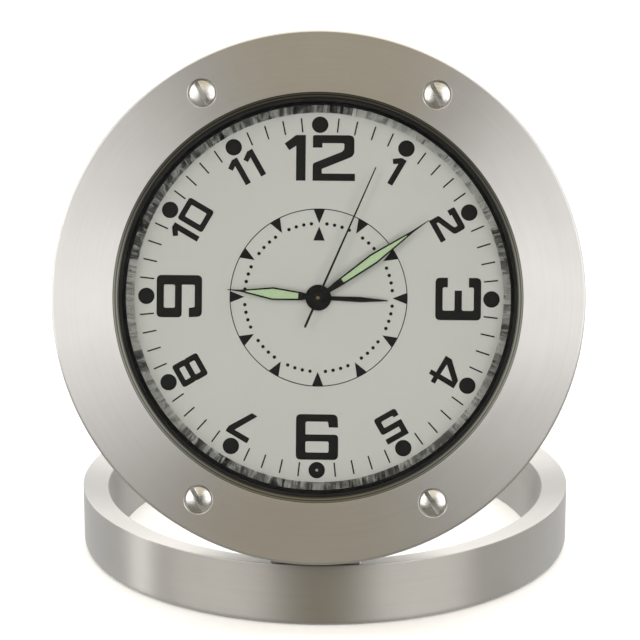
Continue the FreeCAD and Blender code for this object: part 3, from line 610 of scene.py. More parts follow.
@dataclass(frozen=True)
class DialInk:
    """Black print or lacquer, slightly uneven."""

    name: str = "dial_ink"
    light: Colour = (0.014, 0.014, 0.013)
    dark: Colour = (0.006, 0.006, 0.006)
    roughness: float = 0.38
    gloss: float = 0.2

    def build(self) -> bpy.types.Material:
        """Thick ink with a faint mottle."""
        g = Graph(self.name)
        mottle = g.noise(g.place, 5200.0, 3.0, 0.6)
        g.set(Base_Color=g.blend(g.band(mottle, 0.35, 0.7), self.dark, self.light),
              Roughness=g.band(mottle, 0.3, 0.7, self.roughness * 0.8, self.roughness * 1.25),
              Specular_IOR_Level=self.gloss)
        g.relief(mottle, 0.3, 0.004 * MM)
        return g.material


@dataclass(frozen=True)
class LumePaint:
    """Grainy luminous paint."""

    name: str = "lume_paint"
    light: Colour = (0.63, 0.82, 0.52)
    dark: Colour = (0.47, 0.66, 0.38)

    def build(self) -> bpy.types.Material:
        """Crystals in a clear binder, with a matt, lumpy face."""
        g = Graph(self.name)
        crystals = g.add("ShaderNodeTexVoronoi")
        crystals.inputs["Scale"].default_value = 7500.0
        g.feed(g.place, crystals.inputs["Vector"])
        lumps = g.noise(g.place, 2600.0, 3.0, 0.6)
        tone = g.maths("ADD", g.maths("MULTIPLY", crystals.outputs["Distance"], 0.5),
                       g.maths("MULTIPLY", lumps, 0.6))
        g.set(Base_Color=g.blend(g.band(tone, 0.3, 0.8), self.dark, self.light),
              Roughness=g.band(lumps, 0.3, 0.7, 0.6, 0.8))
        g.relief(tone, 0.4, 0.012 * MM)
        return g.material


@dataclass(frozen=True)
class ClearCrystal:
    """Flat mineral glass: it mirrors a little, and light passes straight through it."""

    name: str = "clear_crystal"
    ior: float = 1.5

    def build(self) -> bpy.types.Material:
        """A polished surface whose cover is the glass's own reflectance."""
        g = Graph(self.name)
        mirror = g.add("ShaderNodeFresnel")
        mirror.inputs["IOR"].default_value = self.ior
        wipe = g.noise(g.place, 90.0, 3.0)
        g.set(Base_Color=(1.0, 1.0, 1.0), Metallic=1.0, Alpha=mirror.outputs[0],
              Roughness=g.band(wipe, 0.45, 0.8, 0.01, 0.05))
        return g.material


@dataclass(frozen=True)
class WoundCopper:
    """Fine enamelled wire wound round the coil."""

    name: str = "wound_copper"
    pitch: float = 0.14 * MM

    def build(self) -> bpy.types.Material:
        """Turns of wire side by side, with painted shade in the grooves between them."""
        g = Graph(self.name)
        turns = g.add("ShaderNodeTexWave")
        turns.bands_direction = "X"
        turns.inputs["Scale"].default_value = TURN / (WAVE_RATE * self.pitch)
        turns.inputs["Distortion"].default_value = 0.6
        g.feed(g.place, turns.inputs["Vector"])
        # Painted shade: the colour darkens where the bump is lowest, in the grooves between the turns.
        g.set(Base_Color=g.blend(turns.outputs["Fac"], (0.28, 0.09, 0.035), (0.72, 0.30, 0.13)),
              Metallic=1.0, Roughness=0.3)
        g.relief(turns.outputs["Fac"], 0.6, 0.03 * MM)
        return g.material


@dataclass(frozen=True)
class PaperFloor:
    """Seamless pale paper."""

    name: str = "paper_floor"

    def build(self) -> bpy.types.Material:
        """Near-white paper with a faint tooth."""
        g = Graph(self.name)
        tooth = g.noise(g.place, 900.0, 3.0)
        g.set(Base_Color=g.blend(tooth, (0.93, 0.93, 0.93), (0.96, 0.96, 0.96)), Roughness=0.9,
              Specular_IOR_Level=0.1)
        g.relief(tooth, 0.05, 0.05 * MM)
        return g.material


class Finishes:
    """Every finish of the clock, built once."""

    def __init__(self, head: AxisFrame, stand: AxisFrame) -> None:
        """Build the finishes that turn about each axis, and the plain ones."""
        self.bezel = TurnedSteel("bezel_brushed", head, (0.64, 0.63, 0.615), (0.56, 0.55, 0.535),
                                 roughness=0.38, spread=0.95, bore=Bezel.bore_edge(head)).build()
        self.ring = TurnedSteel("ring_brushed", stand, (0.52, 0.505, 0.475), (0.45, 0.435, 0.41),
                                roughness=0.45, spread=0.93).build()
        self.case = TurnedSteel("case_turned", head, (0.66, 0.65, 0.63), (0.48, 0.47, 0.45),
                                roughness=0.36, line=0.16 * MM).build()
        self.rehaut = MirrorSteel("rehaut_polished").build()
        self.screw = PlainSteel("screw_polished", (0.66, 0.65, 0.62), (0.36, 0.35, 0.33), 0.27,
                                relief=0.5).build()
        self.hinge = PlainSteel("hinge_satin", (0.45, 0.45, 0.44), (0.30, 0.30, 0.29), 0.34).build()
        self.nickel = PlainSteel("nickel_drawn", (0.76, 0.74, 0.70), (0.60, 0.58, 0.54), 0.22,
                                 (4000.0, 4000.0, 500.0)).build()
        self.iron = PlainSteel("core_iron", (0.46, 0.45, 0.43), (0.30, 0.29, 0.28), 0.4).build()
        self.brass = PlainSteel("brass_cut", (0.83, 0.66, 0.33), (0.66, 0.48, 0.20), 0.24).build()
        self.contact = PlainSteel("brass_sprung", (0.78, 0.63, 0.34), (0.58, 0.43, 0.20), 0.3).build()
        self.gasket = Moulded("gasket_rubber", (0.012, 0.012, 0.012), (0.005, 0.005, 0.005), 0.5,
                              0.2 * MM, 0.15, 0.12).build()
        self.cover = Moulded("cover_grained", (0.050, 0.050, 0.052), (0.030, 0.030, 0.032), 0.55,
                             0.22 * MM, 0.6).build()
        self.door = Moulded("door_grained", (0.042, 0.042, 0.044), (0.026, 0.026, 0.028), 0.45,
                            0.16 * MM, 0.4).build()
        self.knob = Moulded("knob_grey", (0.58, 0.58, 0.56), (0.48, 0.48, 0.465), 0.42,
                            0.14 * MM, 0.25).build()
        self.plate = Moulded("plate_black", (0.075, 0.075, 0.08), (0.05, 0.05, 0.055), 0.5).build()
        self.spacer = Moulded("spacer_cream", (0.76, 0.74, 0.69), (0.68, 0.66, 0.60), 0.5).build()
        self.wheel = Moulded("wheel_cream", (0.82, 0.80, 0.73), (0.74, 0.71, 0.63), 0.4,
                             0.08 * MM, 0.2).build()
        self.board = Moulded("solder_mask", (0.045, 0.20, 0.075), (0.02, 0.11, 0.04), 0.28,
                             0.4 * MM, 0.3).build()
        self.chip = Moulded("epoxy_drop", (0.03, 0.03, 0.03), (0.012, 0.012, 0.012), 0.2,
                            0.5 * MM, 0.2).build()
        self.magnet = Moulded("sintered_magnet", (0.11, 0.11, 0.12), (0.06, 0.06, 0.065), 0.35,
                              0.05 * MM, 0.4).build()
        self.bead = Moulded("bead_glass", (0.62, 0.63, 0.60), (0.50, 0.51, 0.48), 0.08, 0.5 * MM,
                            0.05, 0.8).build()
        self.dial = SatinDial().build()
        self.ink = DialInk().build()
        self.hand = DialInk("hand_lacquer", (0.020, 0.020, 0.019), (0.010, 0.010, 0.010), 0.3).build()
        self.lume = LumePaint().build()
        self.crystal = ClearCrystal().build()
        self.copper = WoundCopper().build()
        self.floor = PaperFloor().build()


def dress(piece: bpy.types.Object, material: bpy.types.Material) -> None:
    """Give a piece one finish all over."""
    piece.data.materials.clear()
    piece.data.materials.append(material)


def fit(piece: bpy.types.Object, body: str, material: bpy.types.Material,
        nodes: Sequence[str] = ()) -> None:
    """Dress a finished piece, let it ride and hide the CAD nodes that it stands for.

    Args:
        piece: Finished piece, in place.
        body: Body that it moves with.
        material: Finish.
        nodes: CAD nodes that it replaces.
    """
    dress(piece, material)
    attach(piece, body)
    if nodes:
        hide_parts(*nodes)
    LOG.info("%s: %d faces, rides on %s", piece.name, len(piece.data.polygons), body)


def seat_and_fit(piece: bpy.types.Object, where: AxisFrame, body: str,
                 material: bpy.types.Material, nodes: Sequence[str] = (), weigh: bool = True) -> None:
    """Polish a piece modelled upright, set it on its axis and fit it."""
    Bench.polish(piece, weigh=weigh)
    Bench.set_on(piece, where)
    fit(piece, body, material, nodes)


def band_section(inner: float, outer: float, front: float, back: float) -> List[Point]:
    """Square profile of a turned band."""
    return [(inner, front), (outer, front), (outer, back), (inner, back)]


# Stand ----------------------------------------------------------------------------------------

@dataclass
class Stand:
    """Ring stand with its hinge leaf, screws and pin."""

    axis: AxisFrame
    finishes: Finishes
    foot_round: float = 1.0 * MM
    lip: float = 0.25 * MM
    pocket_clear: float = 0.1 * MM
    rim_round: float = 0.22 * MM
    slope_zone: float = 1.2 * MM
    least_width: float = 2.0 * MM
    leaf_foot: float = 0.5 * MM

    def build(self) -> None:
        """Turn the ring, cut its hinge pocket and finish the hinge."""
        self.ring()
        for node, slot, material in (("ring_hinge_leaf", "hinge_steel", self.finishes.hinge),
                                     ("ring_hinge_screws", "screw_steel", self.finishes.screw),
                                     ("hinge_pin", "screw_steel", self.finishes.screw)):
            fit(Bench.refined(node, 0.06 * MM), "stand", material, [node])

    def ring(self) -> None:
        """The ring: sloping top, rounded foot, eased rims, and the pocket of the hinge leaf."""
        span = self.axis.span("stand_ring")
        points = self.axis.points("stand_ring")
        top = span.back
        slope = [(math.hypot(p.x, p.z), p.y) for p in points if p.y > top - self.slope_zone]
        lip_inner = min(radius for radius, _ in slope if radius > span.inner + self.least_width)
        lip_height = max(height for radius, height in slope if radius < lip_inner + self.lip)
        foot = [(span.outer - self.foot_round * (1 - math.cos(a)), self.foot_round * (1 - math.sin(a)))
                for a in (math.radians(d) for d in (0, 22.5, 45, 67.5, 90))]
        profile = [(span.inner, 0.0)] + foot[::-1] + [(span.outer, top), (lip_inner, lip_height)]
        ring = Bench.lathe("ring_turned", profile, self.rim_round)
        leaf = self.axis.points("ring_hinge_leaf")
        floor = min(p.y for p in leaf)
        half = max(p.x for p in leaf) + self.pocket_clear
        outer = max(p.z for p in leaf if p.y < floor + self.leaf_foot) + self.pocket_clear
        cutter = Bench.block((-half, floor, span.inner), (half, top + MM, outer))
        Bench.carve(ring, cutter)
        seat_and_fit(ring, self.axis, "stand", self.finishes.ring, ["stand_ring"])


# Bezel and crystal ----------------------------------------------------------------------------

@dataclass
class Bezel:
    """Wide brushed bezel and its four slotted screws."""

    head: AxisFrame
    finishes: Finishes
    bore_chamfer: float = 0.95 * MM
    bore_drop: float = 0.5 * MM
    rim_chamfer: float = 0.35 * MM
    seat_depth: float = 0.5 * MM
    seat_gap: float = 0.2 * MM
    seat_flare: float = 0.42 * MM
    seat_lip: float = 0.12 * MM
    seat_over: float = 0.3 * MM
    edge_round: float = 0.09 * MM
    leaf_side: float = 1.6 * MM
    leaf_front: float = 0.2 * MM
    leaf_rise: float = 2.7 * MM
    shank: float = 1.0 * MM
    edge_ease: float = 0.05 * MM
    screw_inset: float = 5.5 * MM
    head_radius: float = 2.2 * MM
    slot_half: float = 0.36 * MM
    slot_depth: float = 0.50 * MM
    crown: float = 0.5 * MM
    hours: Tuple[float, ...] = (30, 150, 210, 330)
    slot_leans: Tuple[float, ...] = (-27, -33, -30, -29)

    @staticmethod
    def bore_edge(head: AxisFrame) -> float:
        """Radius at which the brushed face gives way to the bore."""
        return head.span("bezel").inner + Bezel.bore_chamfer

    def build(self) -> None:
        """Turn the ring, sink the screw seats and set the screws."""
        span = self.head.span("bezel")
        rim = self.rim_chamfer
        profile = [(span.inner + self.bore_chamfer, 0.0), (span.outer - rim, 0.0), (span.outer, rim),
                   (span.outer, span.back), (span.inner, span.back), (span.inner, self.bore_drop)]
        bezel = Bench.lathe("bezel_turned", profile, self.edge_round)
        circle = span.outer - self.screw_inset
        seat_radius = self.head_radius + self.seat_gap
        for hour in self.hours:
            x, z = clock_point(circle, hour)
            seat = Bench.lathe("seat", [(0, -self.seat_over),
                                        (seat_radius + self.seat_flare, -self.seat_over),
                                        (seat_radius, self.seat_lip), (seat_radius, self.seat_depth),
                                        (0, self.seat_depth)], 0, SMALL_STEPS)
            Bench.carve(bezel, Bench.move(seat, x, 0, z))
        pocket = self.head.points("head_hinge_leaf")
        half = max(p.x for p in pocket) + self.leaf_side
        deep = min(p.y for p in pocket)
        Bench.carve(bezel, Bench.block((-half, deep - self.leaf_front, -span.outer - MM),
                                       (half, span.back + MM, -span.outer + self.leaf_rise)))
        seat_and_fit(bezel, self.head, "clock_head", self.finishes.bezel, ["bezel"])
        self.screws(circle)

    def screws(self, circle: float) -> None:
        """Domed heads with a milled slot, each left at its own angle."""
        span = self.head.span("bezel_screws")
        ball = (self.head_radius ** 2 + self.crown ** 2) / (2 * self.crown)
        dome = []
        for step in range(9):
            radius = self.head_radius * step / 8
            dome.append((radius, span.front + ball - math.sqrt(ball ** 2 - radius ** 2)))
        under = self.seat_depth - self.edge_ease
        profile = dome + [(self.head_radius, under), (self.shank, under), (self.shank, span.back),
                          (0, span.back)]
        screw = Bench.lathe("screw", profile, 0, SMALL_STEPS)
        reach = self.head_radius + MM
        Bench.carve(screw, Bench.block((-self.slot_half, span.front - MM, -reach),
                                       (self.slot_half, span.front + self.slot_depth, reach)))
        Bench.soften(screw, self.edge_ease, 2, 40)
        for number, (hour, slot_lean) in enumerate(zip(self.hours, self.slot_leans), 1):
            x, z = clock_point(circle, hour)
            twin = Bench.move(Bench.copy(screw, f"bezel_screw_{number}"), x, 0, z, slot_lean)
            seat_and_fit(twin, self.head, "clock_head", self.finishes.screw,
                         ["bezel_screws"])
        bpy.data.objects.remove(screw)


@dataclass
class CrystalSeat:
    """Gasket round the crystal and the polished cone below it."""

    head: AxisFrame
    finishes: Finishes
    crystal_gap: float = 0.02 * MM
    lip_round: float = 0.07 * MM

    def build(self) -> None:
        """Turn the gasket and the cone, and clear the crystal."""
        gasket, crystal = self.head.span("crystal_gasket"), self.head.span("crystal")
        wall = crystal.outer + self.crystal_gap
        section = [(wall, gasket.front), (gasket.outer, gasket.front), (gasket.outer, gasket.back),
                   (gasket.inner, gasket.back), (gasket.inner, crystal.back), (wall, crystal.back)]
        lip = Bench.lathe("gasket_moulded", section, self.lip_round)
        seat_and_fit(lip, self.head, "clock_head", self.finishes.gasket,
                     ["crystal_gasket"])
        cone = self.head.span("rehaut_ring")
        profile = [(gasket.inner, cone.front), (cone.outer, cone.front), (cone.outer, cone.back),
                   (cone.inner, cone.back)]
        mirror = Bench.lathe("rehaut_turned", profile, 0, 2 * LATHE_STEPS)
        seat_and_fit(mirror, self.head, "clock_head", self.finishes.rehaut,
                     ["rehaut_ring"], weigh=False)
        dress(frame["nodes"]["crystal"], self.finishes.crystal)


# Dial -----------------------------------------------------------------------------------------

class Upright(Enum):
    """Which way the top of a printed number points."""

    UP = "up"
    OUTWARD = "outward"


@dataclass(frozen=True)
class Digit:
    """One printed digit: loops of corners in shares of its height, and a round for each loop."""

    width: float
    loops: Tuple[Tuple[Corner, ...], ...]


class NumberFace:
    """Square-cut digits drawn from a bar width across and a bar height down."""

    def __init__(self, stem: float, bar: float, width: float) -> None:
        """Keep the bar sizes, as shares of the digit's height."""
        self.stem, self.bar, self.width = stem, bar, width
        self.outer, self.inner = 0.11, 0.04

    def digit(self, sign: str) -> Digit:
        """The outline of a digit."""
        drawings = (self._nought, self._one, self._two, self._three, self._four, self._five,
                    self._six, self._seven, self._eight, self._nine)
        return drawings[int(sign)]()

    @staticmethod
    def _box(x0: float, y0: float, x1: float, y1: float, r: float) -> Tuple[Corner, ...]:
        """A loop round a box with all corners rounded."""
        return (x0, y0, r), (x1, y0, r), (x1, y1, r), (x0, y1, r)

    def _nought(self) -> Digit:
        """Square ring."""
        w, s, b = self.width, self.stem, self.bar
        return Digit(w, (self._box(0, 0, w, 1, self.outer), self._box(s, b, w - s, 1 - b, self.inner)))

    def _one(self) -> Digit:
        """Plain stem with a slanting flag."""
        s, flag = self.stem, 0.254
        return Digit(flag + s, (((flag, 1, 0), (0, 0.813, 0), (0.101, 0.663, 0), (flag, 0.764, 0),
                                 (flag, 0, 0), (flag + s, 0, 0), (flag + s, 1, 0)),))

    def _two(self) -> Digit:
        """Flat top and foot joined by a slanting bar."""
        w, s, b = self.width, self.stem, self.bar
        right = w - s
        return Digit(w, (((0, 1, 0.05), (w - 0.02, 1, 0.12), (w - 0.02, 0.55, 0.1), (0.2, 0.26, 0),
                          (0.2, b, 0), (w, b, 0), (w, 0, 0), (0, 0, 0), (0, 0.38, 0.05),
                          (right - 0.03, 0.66, 0.08), (right - 0.03, 1 - b - 0.015, self.inner),
                          (s, 1 - b - 0.015, 0), (s, 0.726, 0), (0, 0.726, 0)),))

    def _three(self) -> Digit:
        """Two open boxes on a common right side."""
        w, s, b, hook = self.width, self.stem, self.bar, 0.27
        low, high = 0.5 - b / 2, 0.5 + b / 2
        return Digit(w, (((0, 1, self.outer), (w, 1, self.outer), (w, 0, self.outer),
                          (0, 0, self.outer), (0, hook, 0), (s, hook, 0), (s, b, self.inner),
                          (w - s, b, self.inner), (w - s, low, self.inner), (0.3 * w, low, 0),
                          (0.3 * w, high, 0), (w - s, high, self.inner), (w - s, 1 - b, self.inner),
                          (s, 1 - b, self.inner), (s, 1 - hook, 0), (0, 1 - hook, 0)),))

    def _four(self) -> Digit:
        """Slanting shoulder, crossbar and stem."""
        return Digit(1.03, (((0.66, 0, 0), (0.83, 0, 0), (0.83, 0.19, 0), (1.03, 0.19, 0),
                             (1.03, 0.36, 0), (0.83, 0.36, 0), (0.84, 1, 0), (0.53, 1, 0),
                             (0, 0.43, 0), (0, 0.19, 0),
                             (0.66, 0.19, 0)),
                            ((0.24, 0.375, 0), (0.65, 0.36, 0), (0.645, 0.83, 0))))

    def _five(self) -> Digit:
        """Flat top, open left foot."""
        w, s, b, hook = self.width, self.stem, self.bar, 0.27
        low, high = 0.5 - b / 2 + 0.03, 0.5 + b / 2 + 0.03
        return Digit(w, (((0, 1, 0), (w - 0.03, 1, 0), (w - 0.03, 1 - b, 0), (s, 1 - b, self.inner),
                          (s, high, 0), (w, high, self.outer), (w, 0, self.outer), (0, 0, self.outer),
                          (0, hook, 0), (s, hook, 0), (s, b, self.inner), (w - s, b, self.inner),
                          (w - s, low, self.inner), (0, low, 0.02)),))

    def _six(self) -> Digit:
        """Closed lower box and a hook at the top."""
        w, s, b = self.width, self.stem, self.bar
        low, high = 0.404, 0.556
        return Digit(w, (((0, 0, self.outer), (w, 0, self.outer), (w, high, self.outer * 0.8),
                          (s, high, 0.02), (s, 1 - b, self.inner), (w - s - 0.02, 1 - b, 0.02),
                          (w - s, 0.713, 0),
                          (w - 0.005, 0.713, 0), (w - 0.02, 1, self.outer), (0, 1, self.outer)),
                         self._box(s, b, w - s, low, self.inner)))

    def _seven(self) -> Digit:
        """Flat top and a slanting stem."""
        w, b = self.width, self.bar
        return Digit(w, (((0, 1, 0.02), (w, 1, 0.03), (w, 1 - b, 0.05), (0.44 * w, 0, 0.02),
                          (0.18 * w, 0, 0.02), (0.70 * w, 1 - b, 0), (0, 1 - b, 0.02)),))

    def _eight(self) -> Digit:
        """Two boxes with a small waist."""
        w, s, b, nick = self.width, self.stem, self.bar, 0.03
        slot = (1 - 3 * b) / 2
        return Digit(w, (((0, 0, self.outer), (w, 0, self.outer), (w, 0.46, 0.05),
                          (w - nick, 0.5, 0.02),
                          (w, 0.54, 0.05), (w, 1, self.outer), (0, 1, self.outer), (0, 0.54, 0.05),
                          (nick, 0.5, 0.02), (0, 0.46, 0.05)),
                         self._box(s, b, w - s, b + slot, self.inner),
                         self._box(s, 2 * b + slot, w - s, 1 - b, self.inner)))

    def _nine(self) -> Digit:
        """A six turned over."""
        six = self._six()
        return Digit(six.width, tuple(tuple((six.width - x, 1 - y, r) for x, y, r in loop)
                                      for loop in six.loops))


def rounded(corners: Sequence[Corner]) -> List[Point]:
    """Round the corners of a closed loop.

    Args:
        corners: (x, y, round) of each corner; the round is cut back along both sides.

    Returns:
        Points of the loop, with each round as a short curve.
    """
    points: List[Point] = []
    for index, (x, y, size) in enumerate(corners):
        if size <= 0:
            points.append((x, y))
            continue
        here = Vector((x, y))
        before = Vector(corners[index - 1][:2]) - here
        after = Vector(corners[(index + 1) % len(corners)][:2]) - here
        cut = min(size, before.length * 0.48, after.length * 0.48)
        first, last = here + before.normalized() * cut, here + after.normalized() * cut
        for step in range(6):
            t = step / 5
            spot = first * (1 - t) ** 2 + here * (2 * t * (1 - t)) + last * t ** 2
            points.append((spot.x, spot.y))
    return points


@dataclass
class DialPrint:
    """Printed numbers, hour dots, minute strokes and the alarm scale."""

    height: float
    dot_circle: float
    numeral_outer: float = 27.6 * MM
    large_height: float = 7.75 * MM
    small_height: float = 4.9 * MM
    dot_radius: float = 1.4 * MM
    stroke_inner: float = 28.2 * MM
    stroke_outer: float = 30.6 * MM
    stroke_width: float = 0.25 * MM
    scale_circle: float = 15.06 * MM
    scale_line: float = 0.16 * MM
    wedge_inner: float = 12.6 * MM
    wedge_base: float = 1.96 * MM
    pointer_inner: float = 9.7 * MM
    pointer_outer: float = 12.1 * MM
    fine_dot: float = 0.3 * MM
    film: float = 0.03 * MM
    digit_gap: float = 0.155
    loops: List[List[Point]] = field(default_factory=list)
    wedges: List[List[Point]] = field(default_factory=list)

    def draw(self) -> bpy.types.Object:
        """Lay out the print and raise it as one film of ink.

        Returns:
            The print, upright, with its face towards the front.
        """
        for hour in range(1, 13):
            self.hour_mark(hour)
            self.wedge(hour * 30)
            for minute in range(1, 5):
                self.stroke(hour * 30 + minute * 6)
            for share in range(1, 5):
                x, z = clock_point(self.wedge_inner, hour * 30 + share * 6)
                self.loops.append(self.circle(x, z, self.fine_dot, 16))
        for side in (0.5, -0.5):
            self.loops.append(self.circle(0, 0, self.scale_circle + side * self.scale_line, 240))
        self.pointer()
        ink = self.raise_ink(self.loops, self.film)
        return Bench.gather("dial_print", [ink, self.raise_ink(self.wedges, self.film * 0.9)])

    def hour_mark(self, hour: int) -> None:
        """An hour's dot and number."""
        x, z = clock_point(self.dot_circle, hour * 30)
        self.loops.append(self.circle(x, z, self.dot_radius, 48))
        large = hour % 3 == 0
        tall = self.large_height if large else self.small_height
        face = NumberFace(0.21, 0.16, 0.93) if large else NumberFace(0.2, 0.195, 0.86)
        way = Upright.UP if hour in (12, 6) else Upright.OUTWARD
        centre_radius = self.numeral_outer - tall / 2
        x, z = clock_point(centre_radius, hour * 30)
        lean = 0.0 if way is Upright.UP else hour * 30
        self.number(str(hour), face, tall, x, z, lean)

    def number(self, text: str, face: NumberFace, tall: float, x: float, z: float,
               clock_deg: float) -> None:
        """A number centred on a place, with its top at a clock angle."""
        digits = [face.digit(sign) for sign in text]
        total = sum(d.width for d in digits) + self.digit_gap * (len(digits) - 1)
        across = -total / 2
        for digit in digits:
            for loop in digit.loops:
                spots = [self.turned((across + px) * tall, (py - 0.5) * tall, clock_deg)
                         for px, py in rounded(loop)]
                self.loops.append([(x + dx, z + dz) for dx, dz in spots])
            across += digit.width + self.digit_gap

    def circle(self, x: float, z: float, radius: float, steps: int) -> List[Point]:
        """A round loop."""
        return [(x + radius * math.cos(TURN * i / steps), z + radius * math.sin(TURN * i / steps))
                for i in range(steps)]

    def stroke(self, clock_deg: float) -> None:
        """A minute stroke."""
        half = self.stroke_width / 2
        corners = ((-half, self.stroke_inner), (half, self.stroke_inner), (half, self.stroke_outer),
                   (-half, self.stroke_outer))
        self.loops.append([self.turned(x, z, clock_deg) for x, z in corners])

    def wedge(self, clock_deg: float) -> None:
        """A wedge of the alarm scale, pointing inwards from its circle."""
        half = self.wedge_base / 2
        corners = ((-half, self.scale_circle), (half, self.scale_circle), (0, self.wedge_inner))
        self.wedges.append([self.turned(x, z, clock_deg) for x, z in corners])

    def pointer(self) -> None:
        """The extra wedge under 12, pointing outwards."""
        half = self.wedge_base / 2
        self.wedges.append([(-half, self.pointer_inner), (half, self.pointer_inner),
                            (0, self.pointer_outer)])

    @staticmethod
    def turned(x: float, z: float, clock_deg: float) -> Point:
        """A point turned clockwise about the dial's centre."""
        angle = math.radians(clock_deg)
        return x * math.cos(angle) + z * math.sin(angle), -x * math.sin(angle) + z * math.cos(angle)

    def raise_ink(self, loops: Sequence[Sequence[Point]], film: float) -> bpy.types.Object:
        """Fill the loops as a flat curve and give the ink its thickness."""
        curve = bpy.data.curves.new("dial_print", "CURVE")
        curve.dimensions, curve.fill_mode = "2D", "BOTH"
        curve.extrude = film
        for loop in loops:
            spline = curve.splines.new("POLY")
            spline.points.add(len(loop) - 1)
            for point, (x, z) in zip(spline.points, loop):
                point.co = (x, z, 0, 1)
            spline.use_cyclic_u = True
        ink = bpy.data.objects.new("dial_print", curve)
        bpy.context.scene.collection.objects.link(ink)
        Bench.pick(ink)
        bpy.ops.object.convert(target="MESH")
        ink = bpy.context.object
        ink.matrix_world = Matrix(((1, 0, 0, 0), (0, 0, -1, self.height), (0, 1, 0, 0), (0, 0, 0, 1)))
        Bench.bake()
        Bench.edit_all()
        Bench.close()
        return ink


@dataclass
class Dial:
    """Dial plate, its print and the bead at 6."""

    head: AxisFrame
    finishes: Finishes
    edge: float = 0.04 * MM
    bead_radius: float = 0.25 * MM
    bead_rise: float = 0.08 * MM
    bead_steps: int = 32

    def build(self) -> None:
        """Turn the plate, lay the print on it and set the bead."""
        span = self.head.span("dial")
        bead = self.head.centre("dial_bead")
        plate = Bench.lathe("dial_plate", band_section(span.inner, span.outer, span.front, span.back),
                            self.edge)
        hole = Bench.lathe("hole", band_section(0, self.bead_radius, span.front - MM, span.back + MM),
                           0, self.bead_steps)
        Bench.carve(plate, Bench.move(hole, 0, 0, bead.z))
        seat_and_fit(plate, self.head, "clock_head", self.finishes.dial, ["dial"])
        ink = DialPrint(span.front, -bead.z).draw()
        Bench.set_on(ink, self.head)
        fit(ink, "clock_head", self.finishes.ink)
        self.bead(bead)

    def bead(self, place: Vector) -> None:
        """A drop of glass that stands a little proud."""
        span = self.head.span("dial_bead")
        radius = self.bead_radius
        dome = [(radius * math.sin(a), span.front + self.bead_rise * (1 - math.cos(a)))
                for a in (math.radians(d) for d in range(0, 91, 15))]
        drop = Bench.lathe("bead_drop", dome + [(radius, span.back), (0, span.back)], 0,
                           self.bead_steps)
        Bench.move(drop, place.x, 0, place.z)
        seat_and_fit(drop, self.head, "clock_head", self.finishes.bead, ["dial_bead"])


# Hands ----------------------------------------------------------------------------------------

@dataclass
class Hands:
    """Hour, minute, second and alarm hands with their luminous fills."""

    head: AxisFrame
    finishes: Finishes

    def build(self) -> None:
        """Ease the edges of each hand and dress it."""
        for body in ("alarm_hand", "hour_hand", "minute_hand", "second_hand"):
            fit(Bench.refined(body, 0.035 * MM), body, self.finishes.hand, [body])
        for body in ("hour_hand", "minute_hand"):
            node = body + "_lume"
            fit(Bench.refined(node, 0.02 * MM), body, self.finishes.lume, [node])


# Case and back --------------------------------------------------------------------------------

@dataclass
class Case:
    """Case body, back cover, door, switch, knobs and the head's hinge leaf."""

    head: AxisFrame
    finishes: Finishes

    def build(self) -> None:
        """Ease the edges of the moulded and turned pieces and dress them."""
        f = self.finishes
        rows = (("case_body", "clock_head", "case_steel", f.case, 0.12),
                ("back_cover", "clock_head", "cover_plastic", f.cover, 0.10),
                ("back_cover_screws", "clock_head", "screw_steel", f.screw, 0.06),
                ("head_hinge_leaf", "clock_head", "hinge_steel", f.hinge, 0.06),
                ("head_hinge_screws", "clock_head", "screw_steel", f.screw, 0.04),
                ("battery_door", "battery_door", "door_plastic", f.door, 0.10),
                ("alarm_switch", "alarm_switch", "knob_plastic", f.knob, 0.06),
                ("time_set_knob", "time_setter", "knob_plastic", f.knob, 0.08),
                ("alarm_set_knob", "alarm_setter", "knob_plastic", f.knob, 0.08))
        for node, body, slot, material, width in rows:
            fit(Bench.refined(node, width * MM), body, material, [node])


# Movement -------------------------------------------------------------------------------------

@dataclass
class Movement:
    """Works behind the dial, which keep their CAD shapes."""

    finishes: Finishes

    def build(self) -> None:
        """Dress every node of the works."""
        f = self.finishes
        coats: Dict[str, bpy.types.Material] = {
            "movement_spacer": f.spacer, "movement_spacer_screws": f.screw, "movement_screws": f.screw,
            "movement_front_plate": f.plate, "movement_rear_plate": f.plate,
            "movement_plate_screws": f.screw, "circuit_board": f.board, "quartz_crystal": f.nickel,
            "driver_chip": f.chip, "stator": f.iron, "coil_core": f.iron, "coil_bobbin": f.spacer,
            "coil_winding": f.copper, "battery": f.nickel, "battery_contacts": f.contact,
            "buzzer_disc": f.contact, "alarm_wheel": f.wheel, "hour_wheel": f.wheel,
            "minute_wheel": f.brass, "second_wheel": f.brass, "third_wheel": f.brass,
            "intermediate_wheel": f.wheel, "motion_work_wheel": f.wheel, "rotor": f.brass,
            "rotor_magnet": f.magnet, "time_set_arbor": f.brass, "alarm_set_arbor": f.brass}
        for node, material in coats.items():
            dress(frame["nodes"][node], material)
            LOG.info("%s dressed as %s", node, material.name)


# Studio ---------------------------------------------------------------------------------------

